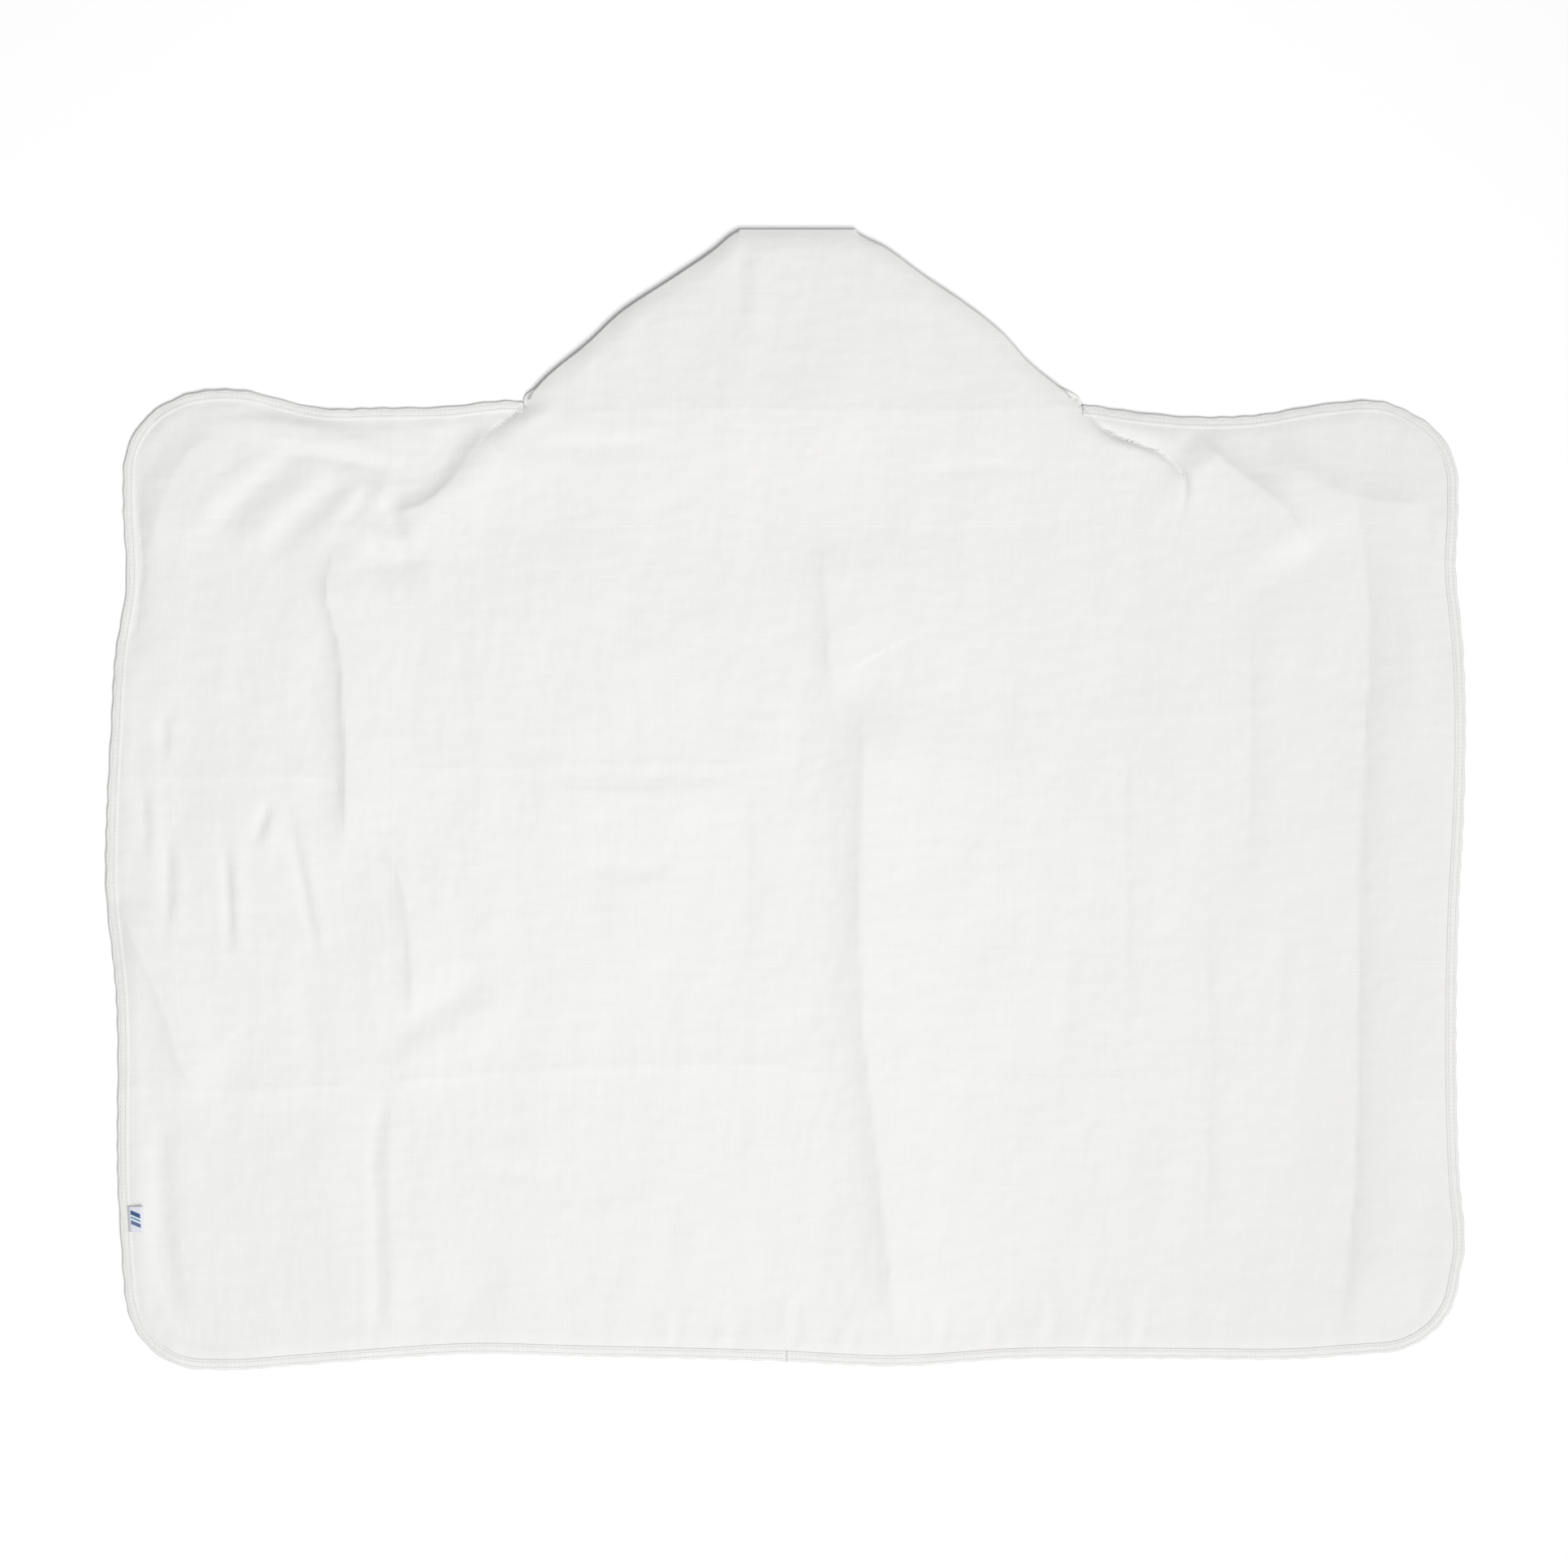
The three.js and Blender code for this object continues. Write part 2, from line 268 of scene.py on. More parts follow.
def wrinkle(route: Points, depth: float, width: float, fade: float = 0.4) -> list[Fold]:
    """A narrow hollow with a low ridge on its left, as loose cloth makes."""
    ridge = Fold(offset_route(route, 1.8 * width), 0.7 * depth, 1.6 * width, width, fade)
    return [Fold(route, -depth, width, width, fade), ridge]


LEFT_ROLL = ((-236, 305), (-250, 290), (-266, 268), (-282, 250), (-300, 238), (-322, 232))
LEFT_CREASE = ((-366, 215), (-373, 162), (-365, 132), (-360, 75), (-359, 16), (-359, -52))
LEFT_CREASE_END = ((-346, -46), (-318, -58), (-309, -90), (-306, -125), (-304, -188))
CENTRE_CREASE_TOP = ((28, 222), (34, 148), (40, 95), (61, 78))
CENTRE_CREASE = ((63, 92), (62, 15), (60, -76), (63, -185), (76, -307), (90, -452))
RIGHT_FOLD = ((460, 262), (473, 170), (473, 85), (471, 56), (465, -99), (463, -292), (451, -440))
RIGHT_SLIT = ((239, 321), (256, 303), (281, 292), (305, 282), (321, 266), (322, 222))
RIGHT_DIAGONAL = ((330, 298), (366, 267), (397, 244), (430, 198))
LOWER_LEFT_FOLD = ((-546, -78), (-524, -129), (-504, -175), (-489, -222), (-462, -243))
WRAPPER_CREASE = ((-327, -230), (-258, -224), (-92, -217), (-6, -217), (18, -222), (52, -222))
# Each short hollow that the hem's stitches draw up, as its place along the hem and its length
HEM_PUCKERS = (
    (-91, 44), (-44, 30), (6, 52), (52, 26), (126, 46), (166, 34), (214, 58), (250, 32), (288, 50),
)


def towel_folds() -> list[Fold]:
    """Returns every fold of the spread towel."""
    folds = [
        # The cloth rolls away from both ends of the hood
        Fold(LEFT_ROLL, 5.0, 34, 11, 0.15, Bend.SLOPE),
        Fold(offset_route(LEFT_ROLL, -14), -1.4, 14, 16, 0.3),
        Fold(((-346, 238), (-332, 246), (-318, 244)), 2.2, 9, 9, 0.5),
        Fold(((-362, 222), (-350, 236), (-338, 256)), -1.6, 7, 7),
        Fold(((-352, 205), (-329, 193), (-286, 198)), -1.9, 9, 12),
        Fold(((-348, 222), (-322, 214), (-290, 216)), 1.2, 8, 8),
        Fold(RIGHT_SLIT, -2.3, 2.6, 2.6, 0.3),
        Fold(offset_route(RIGHT_SLIT, 9), 1.7, 16, 7, 0.3),
        # The upper left corner is drawn towards the roll in arcs
        Fold(((-480, 306), (-446, 305), (-410, 304), (-365, 295), (-318, 278)), 2.0, 8, 12),
        Fold(((-455, 316), (-400, 313), (-340, 306), (-280, 309)), -1.0, 6, 8),
        Fold(((-425, 281), (-390, 281), (-353, 276), (-300, 260)), -1.7, 8, 8),
        Fold(((-430, 293), (-370, 288), (-305, 272)), 1.0, 7, 7),
        Fold(((-390, 283), (-437, 249), (-470, 212)), -1.8, 11, 11),
        Fold(((-416, 285), (-458, 249), (-490, 205)), 1.5, 12, 12),
        Fold(((-352, 266), (-395, 230), (-420, 190)), -1.8, 11, 11),
        Fold(((-370, 263), (-414, 236), (-446, 192)), 1.5, 11, 11),
        Fold(((-334, 264), (-366, 228), (-388, 198)), 1.4, 9, 11),
        Fold(((-500, 300), (-520, 270), (-530, 230), (-528, 190)), -1.2, 10, 12),
        Fold(((-531, 100), (-530, 150), (-528, 205), (-527, 262)), -2.2, 12, 9, 0.3),
        Fold(((-452, 306), (-486, 282), (-508, 240), (-516, 190)), 3.6, 40, 22, 0.3, Bend.SLOPE),
        # The left side: one long crease and short wrinkles
        Fold(LEFT_CREASE, 4.4, 40, 7, 0.2, Bend.SLOPE),
        Fold(LEFT_CREASE_END, 2.4, 26, 6, 0.25, Bend.SLOPE),
        *wrinkle(((-505, -20), (-503, -66), (-504, -116)), 1.5, 5),
        *wrinkle(((-457, -22), (-454, -80), (-452, -138)), 1.6, 4.5),
        *wrinkle(((-410, -4), (-399, -42), (-389, -96), (-379, -142)), 1.5, 5),
        *wrinkle(((-419, 4), (-427, -20), (-436, -42)), 1.3, 5),
        *wrinkle(((-524, 22), (-522, -20), (-521, -56)), 1.1, 4.5),
        *wrinkle(((-506, 80), (-508, 50), (-507, 24)), 1.2, 5.5),
        Fold(((-440, 150), (-442, 90), (-436, 30)), -0.6, 12, 12),
        Fold(((-408, 160), (-406, 90), (-398, 40)), 0.7, 12, 12),
        Fold(LOWER_LEFT_FOLD, 3.8, 40, 13, 0.2, Bend.SLOPE),
        Fold(((-511, -250), (-510, -323), (-502, -399), (-488, -432), (-436, -449)), -1.7, 9, 7, 0.2),
        Fold(((-492, -262), (-490, -330), (-480, -400), (-455, -425)), 1.0, 16, 9, 0.3),
        # The middle
        Fold(CENTRE_CREASE_TOP, 3.2, 40, 11, 0.3, Bend.SLOPE),
        Fold(CENTRE_CREASE, 8.2, 60, 25, 0.12, Bend.SLOPE),
        Fold(((-34, 10), (-90, 8), (-150, 6), (-210, 9)), 2.2, 30, 11, 0.3, Bend.SLOPE),
        Fold(((-176, -53), (-130, -56), (-84, -53)), -0.8, 7, 8),
        Fold(((-30, -130), (-32, -40), (-35, 16)), -3.4, 34, 20, 0.3, Bend.SLOPE),
        Fold(((-326, -226), (-278, -194), (-216, -152)), 1.6, 12, 20),
        Fold(((-330, -204), (-292, -172), (-236, -140)), -1.2, 12, 9),
        Fold(((-240, -90), (-205, -140), (-160, -190)), -0.7, 16, 16),
        Fold(((-327, -236), (-334, -273), (-333, -360), (-332, -440)), -1.3, 8, 5, 0.15),
        Fold(((-316, -240), (-321, -273), (-320, -360), (-319, -440)), 0.9, 12, 7, 0.15),
        Fold(((-260, -300), (-200, -306), (-150, -303)), -0.6, 8, 8),
        Fold(((-215, -330), (-160, -336), (-100, -331)), 0.6, 9, 9),
        # The right side: long soft folds that run down from the neck
        Fold(tuple(reversed(RIGHT_FOLD)), -9.5, 60, 23, 0.1, Bend.SLOPE),
        Fold(tuple(reversed(RIGHT_DIAGONAL)), 8.5, 42, 17, 0.2, Bend.SLOPE),
        Fold(((534, 240), (480, 243), (425, 262), (392, 290)), 4.6, 40, 30, 0.25, Bend.SLOPE),
        Fold(((372, 306), (410, 276), (440, 240), (452, 205)), 1.4, 14, 14),
        Fold(((500, 262), (520, 200), (537, 143), (546, 88)), -2.6, 14, 15),
        Fold(((520, 300), (532, 262), (534, 225)), -1.0, 10, 10),
        Fold(((496, 230), (506, 160), (512, 90), (508, 20)), 1.4, 14, 14),
        Fold(((376, -80), (378, 56), (374, 186)), -4.4, 40, 16, 0.3, Bend.SLOPE),
        Fold(((275, -220), (277, -80), (275, 60)), -2.0, 34, 10, 0.3, Bend.SLOPE),
        Fold(((342, -380), (344, -220), (342, -66)), -2.4, 34, 10, 0.25, Bend.SLOPE),
        Fold(((227, -108), (228, -160), (227, -208)), -0.9, 8, 8),
        Fold(((401, -100), (402, -170), (400, -236)), -1.0, 8, 9),
        Fold(((427, -60), (428, -190), (420, -330)), -0.8, 10, 10),
        Fold(((510, -60), (516, -200), (512, -330)), 1.1, 14, 18),
        Fold(((497, -338), (516, -372), (508, -420), (470, -440)), -1.1, 9, 9),
        Fold(((97, -190), (98, -220), (97, -252)), 0.9, 9, 9),
        Fold(((116, -280), (117, -325), (116, -368)), 0.9, 8, 8),
        # The hood
        Fold(((-130, 398), (-88, 424), (-54, 446)), -1.8, 9, 14, 0.35),
        Fold(((88, 437), (106, 420), (130, 394)), -1.4, 9, 9, 0.4),
        Fold(((-35, 456), (-38, 420), (-36, 380)), -1.0, 6, 8),
        Fold(((-22, 456), (-24, 420), (-22, 380)), 0.8, 8, 6),
        Fold(((-56, 350), (-57, 334), (-55, 316)), -0.7, 4, 6),
        Fold(((60, 392), (100, 388), (140, 386)), -0.6, 8, 8),
        Fold(((-206, 290), (-150, 287), (-100, 291)), -1.0, 7, 9),
        Fold(((-200, 303), (-140, 300), (-90, 303)), 0.6, 8, 8),
        Fold(((100, 262), (150, 270), (205, 268)), -0.8, 9, 9),
        Fold(((-222, 313), (-45, 317), (60, 316), (236, 317)), 0.5, 5, 7, 0.1, Bend.PRESSED),
        # Creases of the towel's folded state in its shop wrapper
        Fold(((-545, -233), (-463, -238), (-348, -231)), 0.9, 8, 6, 0.08, Bend.PRESSED),
        Fold(WRAPPER_CREASE, 0.9, 8, 6, 0.08, Bend.PRESSED),
        Fold(((-545, 19), (-440, 18), (-361, 18)), 0.7, 8, 6, 0.08, Bend.PRESSED),
        Fold(((-330, 24), (-177, 27), (-28, 30)), 0.6, 8, 6, 0.08, Bend.PRESSED),
        Fold(((80, 70), (230, 66), (420, 72)), 0.25, 8, 8, 0.2, Bend.PRESSED),
        Fold(((100, -224), (260, -226), (430, -222)), 0.3, 8, 8, 0.2, Bend.PRESSED),
    ]
    start = -452
    for place, length in HEM_PUCKERS:
        route = ((place, start), (place + 3, start + length / 2), (place + 1, start + length))
        folds += wrinkle(route, 0.9, 5)
    return folds


class Relief:
    """The height of all folds and crinkles over the floor, read from an even field."""

    STEP = 2 * MM
    MARGIN = 30 * MM
    SEED = 20
    # Long soft swells, short crinkles and the narrow ripples that gauze keeps along both its threads, each
    # as its height, its size along X and its size along Y, in millimetres
    CRINKLES = (
        (0.45, 62, 74), (0.26, 17, 46), (0.07, 30, 14), (0.075, 4.5, 13), (0.075, 13, 4.5), (0.05, 4, 4),
    )

    def __init__(self, low: Vector, high: Vector) -> None:
        """Adds up the folds over a rectangle of the floor, from its low corner to its high one."""
        self.xs = np.arange(low.x - self.MARGIN, high.x + self.MARGIN, self.STEP)
        self.ys = np.arange(low.y - self.MARGIN, high.y + self.MARGIN, self.STEP)
        self.heights = np.zeros((len(self.ys), len(self.xs)))
        for fold in towel_folds():
            fold.add_to(self.heights, self.xs, self.ys)
        random = np.random.default_rng(self.SEED)
        for height, across, along in self.CRINKLES:
            self.heights += height * MM * self.crinkle(random, across * MM, along * MM)

    def crinkle(self, random: np.random.Generator, across: float, along: float) -> np.ndarray:
        """Makes an even random swell.

        Args:
            random: The seeded source of numbers.
            across: The swell's size along X.
            along: The swell's size along Y.

        Returns:
            A field whose values spread by 1 about 0.
        """
        raw = random.standard_normal(self.heights.shape)
        rows = np.fft.fftfreq(len(self.ys), self.STEP)[:, None]
        columns = np.fft.rfftfreq(len(self.xs), self.STEP)[None, :]
        keep = np.exp(-2.0 * math.pi**2 * ((columns * across / 2) ** 2 + (rows * along / 2) ** 2))
        field_of_swells = np.fft.irfft2(np.fft.rfft2(raw) * keep, s=self.heights.shape)
        return field_of_swells / field_of_swells.std()

    def at(self, x: np.ndarray, y: np.ndarray) -> np.ndarray:
        """Returns the height at places on the floor."""
        across = np.clip((x - self.xs[0]) / self.STEP, 0, len(self.xs) - 1.001)
        up = np.clip((y - self.ys[0]) / self.STEP, 0, len(self.ys) - 1.001)
        i, j = across.astype(int), up.astype(int)
        s, t = across - i, up - j
        low = self.heights[j, i] * (1 - s) + self.heights[j, i + 1] * s
        high = self.heights[j + 1, i] * (1 - s) + self.heights[j + 1, i + 1] * s
        return low * (1 - t) + high * t


@dataclass
class Lie:
    """How the towel lies: where each point of the flat cut is, and how high the muslin is there.

    Attributes:
        half_width: Half the body's width in the cut.
        hem_y: The hem.
        neck_y: The body's top edge, where the hood starts.
        hood_top_y: The hood's flat top.
        corner_radius: The radius of the body's round corners.
        cloth_top: The height of the body's muslin on a flat floor.
        hood_top: The height of the muslin on the hood.
        seam_top: The height of the muslin at the hood's side seams.
        roll_width: How far from its seams the hood reaches its whole height.
    """

    half_width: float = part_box("right_wing_binding")[1].x
    hem_y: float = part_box("hem_binding")[0].y
    neck_y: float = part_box("left_wing_binding")[1].y
    hood_top_y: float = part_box("hood_back_muslin")[1].y
    corner_radius: float = 62 * MM
    cloth_top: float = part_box("left_wing_back_muslin")[1].z
    hood_top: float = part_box("hood_back_muslin")[1].z - 4.0 * MM
    seam_top: float = 5.6 * MM
    roll_width: float = 20 * MM
    relief: Relief = field(init=False)

    # Place along an edge and how far the edge lies off the cut there, in millimetres
    TOP_WAVE = (
        (-520, 8), (-470, 13), (-448, 12), (-417, 5), (-382, -2), (-330, -2), (-277, -1), (-225, 4),
        (-180, 0), (-120, 0), (0, 0), (140, 0), (200, 0), (240, 1), (274, -4), (324, -9), (382, -8),
        (440, 1), (482, 4), (520, -2),
    )
    HEM_WAVE = (
        (-520, 0), (-456, -1), (-410, 2), (-327, 8), (-258, 12), (-164, 10), (-5, 6), (88, 2), (188, 8),
        (324, 8), (420, 8), (479, 12), (525, 14),
    )
    LEFT_WAVE = (
        (-420, 16), (-373, 13), (-323, 10), (-156, 8), (-73, 0), (0, 1), (56, 4), (120, 8), (170, 16),
        (230, 14), (290, 14),
    )
    RIGHT_WAVE = (
        (-412, -6), (-374, -1), (-311, -5), (-99, -6), (0, -1), (56, 0), (124, -2), (189, -8), (240, -6),
    )
    # The hood's side seams, and the lines on which the cloth rolls down to the body below them
    LEFT_LINE = (
        (238, -300), (250, -285), (268, -266), (298, -241), (320, -213), (328, -208), (339, -199),
        (372, -160), (397, -133), (424, -92), (448, -57), (459, -44), (463, -38),
    )
    RIGHT_LINE = (
        (238, 330), (268, 318), (284, 298), (292, 276), (301, 259), (321, 239), (356, 197), (380, 175),
        (403, 146), (426, 112), (448, 82), (463, 57),
    )

    def __post_init__(self) -> None:
        """Works out the folds over the whole towel."""
        self.relief = Relief(Vector(CAD_BOX[0]), Vector(CAD_BOX[1]))

    def place(self, x: np.ndarray, y: np.ndarray) -> tuple[np.ndarray, np.ndarray]:
        """Returns where points of the flat cut lie on the floor."""
        inner, still_top, still_hem = 0.55, 0.1, -0.25
        side_share = (np.abs(x) / self.half_width - inner) / (1.0 - inner)
        pull = eased_step(side_share)
        left = MM * eased_curve(self.LEFT_WAVE, y / MM)
        right = MM * eased_curve(self.RIGHT_WAVE, y / MM)
        top_share = eased_step((y - still_top) / (self.neck_y - still_top))
        hem_share = eased_step((y - still_hem) / (self.hem_y - still_hem))
        top = MM * eased_curve(self.TOP_WAVE, x / MM)
        hem = MM * eased_curve(self.HEM_WAVE, x / MM)
        return x + pull * np.where(x < 0, left, right), y + top_share * top + hem_share * hem

    def seam_x(self, side: Side, y: np.ndarray) -> np.ndarray:
        """Returns the place of the hood's seam, or of the roll below it, at heights up the towel."""
        line = self.LEFT_LINE if side is Side.LEFT else self.RIGHT_LINE
        return MM * eased_curve(line, y / MM)

    def roundness(self, x: np.ndarray, y: np.ndarray) -> np.ndarray:
        """Returns 0 on the hood's seams and outside them, and 1 where the hood has its whole height."""
        slant = 0.75
        inside = slant * np.minimum(x - self.seam_x(Side.LEFT, y), self.seam_x(Side.RIGHT, y) - x)
        inside = np.minimum(inside, self.hood_top_y - y)
        return 1.0 - (1.0 - np.clip(inside / self.roll_width, 0.0, 1.0)) ** 2.0

    def height(self, x: np.ndarray, y: np.ndarray) -> np.ndarray:
        """Returns the height of the muslin's upper face at places on the floor."""
        ramp_low, ramp_high = self.neck_y - 105 * MM, self.neck_y + 8 * MM
        rise = (self.hood_top - self.cloth_top) * eased_step((y - ramp_low) / (ramp_high - ramp_low))
        seam_ease, press_depth, press_width = 14 * MM, 2.0 * MM, 18 * MM
        hood_share = eased_step((y - self.neck_y) / seam_ease)
        low = self.cloth_top + (self.seam_top - self.cloth_top) * hood_share
        edge = self.roundness(x, y)
        folds = self.relief.at(x, y) * (1.0 - hood_share * (1.0 - edge))
        pressed = press_depth * (1.0 - eased_step(self.rim(x, y) / press_width))
        least = 2.1 * MM
        total = low + (self.cloth_top + rise - low) * edge + folds - pressed
        return np.maximum(total, least)

    def rim(self, x: np.ndarray, y: np.ndarray) -> np.ndarray:
        """Returns how far inside the bound edge places on the floor are, with the hood's base left out."""
        laid_x, laid_y = self.place(x, y)
        cut_x, cut_y = 2.0 * x - laid_x, 2.0 * y - laid_y
        across = self.half_width - np.abs(cut_x)
        base = (x > self.seam_x(Side.LEFT, y)) & (x < self.seam_x(Side.RIGHT, y))
        up = np.minimum(cut_y - self.hem_y, np.where(base, 1.0, self.neck_y - cut_y))
        corner = self.corner_radius
        in_corner = (across < corner) & (up < corner)
        round_distance = corner - np.hypot(corner - across, corner - up)
        return np.where(in_corner, round_distance, np.minimum(across, up))

    def normals(self, x: np.ndarray, y: np.ndarray) -> np.ndarray:
        """Returns the directions that the muslin's upper face looks in, one row each."""
        step = 1.0 * MM
        east = (self.height(x + step, y) - self.height(x - step, y)) / (2 * step)
        north = (self.height(x, y + step) - self.height(x, y - step)) / (2 * step)
        made = np.stack([-east, -north, np.ones_like(east)], axis=1)
        return made / np.linalg.norm(made, axis=1)[:, None]


# ---------------------------------------------------------------------------------------------------------
# Meshes


@dataclass
class Placed:
    """Where the points of a grid go.

    Attributes:
        cloth: Each point's place in the flat cloth, for the weave.
        points: Each point's place.
        normals: The direction that each point looks in, where the sheet needs to meet a neighbour smoothly.
    """

    cloth: np.ndarray
    points: np.ndarray
    normals: np.ndarray | None = None


def grid_indices(mesh: bpy.types.Mesh, columns: int, rows: int) -> Places:
    """Reads each vertex's column, row and layer from a grid of unit size about the origin."""
    places = np.zeros(len(mesh.vertices) * 3, np.float32)
    mesh.vertices.foreach_get("co", places)
    places = places.reshape(-1, 3)
    i = np.rint((places[:, 0] + 0.5) * (columns - 1)).astype(int)
    j = np.rint((places[:, 1] + 0.5) * (rows - 1)).astype(int)
    return i, j, np.rint(places[:, 2]).astype(int)


def turn_outwards(mesh: bpy.types.Mesh) -> None:
    """Turns the faces of a closed mesh outwards, if they look inwards."""
    bm = bmesh.new()
    bm.from_mesh(mesh)
    if bm.calc_volume(signed=True) < 0:
        bmesh.ops.reverse_faces(bm, faces=bm.faces[:])
        bm.to_mesh(mesh)
    bm.free()


def shown_mesh(mesh: bpy.types.Mesh, placed: Placed) -> bpy.types.Object:
    """Puts a mesh's points in place, gives it its cloth coordinates and shows it as a smooth object."""
    mesh.vertices.foreach_set("co", placed.points.astype(np.float32).ravel())
    turn_outwards(mesh)
    corners = np.zeros(len(mesh.loops), np.int32)
    mesh.loops.foreach_get("vertex_index", corners)
    layer = mesh.uv_layers.new(name=CLOTH_UV)
    layer.data.foreach_set("uv", placed.cloth[corners].astype(np.float32).ravel())
    mesh.shade_smooth()
    if placed.normals is not None:
        mesh.normals_split_custom_set_from_vertices(placed.normals.astype(np.float32))
    mesh.update()
    made = bpy.data.objects.new(mesh.name, mesh)
    bpy.context.scene.collection.objects.link(made)
    return made


def slab(name: str, columns: np.ndarray, rows: np.ndarray, put: Callable[..., Placed]) -> bpy.types.Object:
    """Builds a closed sheet from a grid of two layers.

    Args:
        name: The piece's name.
        columns: The columns' places in the grid's own measure.
        rows: The rows' places.
        put: Takes each point's column place, row place and layer, 0 below and 1 above.

    Returns:
        The sheet.
    """
    bm = bmesh.new()
    bmesh.ops.create_grid(bm, x_segments=len(columns) - 1, y_segments=len(rows) - 1, size=0.5)
    grown = bmesh.ops.extrude_face_region(bm, geom=bm.faces[:], use_keep_orig=True)
    upper = [part for part in grown["geom"] if isinstance(part, bmesh.types.BMVert)]
    bmesh.ops.translate(bm, verts=upper, vec=(0.0, 0.0, 1.0))
    bmesh.ops.recalc_face_normals(bm, faces=bm.faces[:])
    mesh = bpy.data.meshes.new(name)
    bm.to_mesh(mesh)
    bm.free()
    i, j, layer = grid_indices(mesh, len(columns), len(rows))
    return shown_mesh(mesh, put(columns[i], rows[j], layer))


def tube(name: str, steps: int, section: int, put: Callable[..., Placed]) -> bpy.types.Object:
    """Builds a closed tube from a grid whose last row meets its first, with both ends filled.

    Args:
        name: The piece's name.
        steps: The number of steps along the tube.
        section: The number of corners of its section.
        put: Takes each point's step and its corner.

    Returns:
        The tube.
    """
    bm = bmesh.new()
    bmesh.ops.create_grid(bm, x_segments=steps, y_segments=section, size=0.5)
    for vert in bm.verts:
        turn = FULL_TURN * (vert.co.y + 0.5)
        vert.co = Vector((vert.co.x, math.cos(turn), math.sin(turn)))
    bmesh.ops.remove_doubles(bm, verts=bm.verts[:], dist=1e-5)
    bmesh.ops.holes_fill(bm, edges=[edge for edge in bm.edges if edge.is_boundary], sides=0)
    bmesh.ops.recalc_face_normals(bm, faces=bm.faces[:])
    mesh = bpy.data.meshes.new(name)
    bm.to_mesh(mesh)
    bm.free()
    places = np.zeros(len(mesh.vertices) * 3, np.float32)
    mesh.vertices.foreach_get("co", places)
    places = places.reshape(-1, 3)
    step = np.rint((places[:, 0] + 0.5) * steps).astype(int)
    turn = np.arctan2(places[:, 2], places[:, 1]) / FULL_TURN % 1.0
    return shown_mesh(mesh, put(step, np.rint(turn * section).astype(int) % section))


def dress(piece: bpy.types.Object, material: bpy.types.Material) -> None:
    """Gives a piece its material."""
    piece.data.materials.clear()
    piece.data.materials.append(material)


def report(piece: bpy.types.Object) -> None:
    """Says what a finished piece holds."""
    log.info("%s: %d faces", piece.name, len(piece.data.polygons))


# ---------------------------------------------------------------------------------------------------------
# Finishes


class Signal:
    """A number on a shader socket, which Python expressions can use."""

    def __init__(self, shader: "Shader", socket: bpy.types.NodeSocket) -> None:
        """Wraps a socket of a shader's node."""
        self.shader = shader
        self.socket = socket

    def __add__(self, other: "Signal | float") -> "Signal":
        """Returns the sum."""
        return self.shader.maths("ADD", self, other)

    __radd__ = __add__

    def __mul__(self, other: "Signal | float") -> "Signal":
        """Returns the product."""
        return self.shader.maths("MULTIPLY", self, other)

    __rmul__ = __mul__

    def __sub__(self, other: "Signal | float") -> "Signal":
        """Returns the difference."""
        return self.shader.maths("SUBTRACT", self, other)

    def __rsub__(self, other: float) -> "Signal":
        """Returns a number less this one."""
        return self.shader.maths("SUBTRACT", other, self)

    def __truediv__(self, other: "Signal | float") -> "Signal":
        """Returns the quotient."""
        return self.shader.maths("DIVIDE", self, other)

    def __gt__(self, other: float) -> "Signal":
        """Returns 1 where this is above a number and 0 elsewhere."""
        return self.shader.maths("GREATER_THAN", self, other)

    def floor(self) -> "Signal":
        """Returns the whole number below."""
        return self.shader.maths("FLOOR", self, 0.0)

    def sine(self) -> "Signal":
        """Returns the sine."""
        return self.shader.maths("SINE", self, 0.0)

    def distance_to(self, other: float) -> "Signal":
        """Returns how far this is from a number."""
        return self.shader.maths("ABSOLUTE", self - other, 0.0)


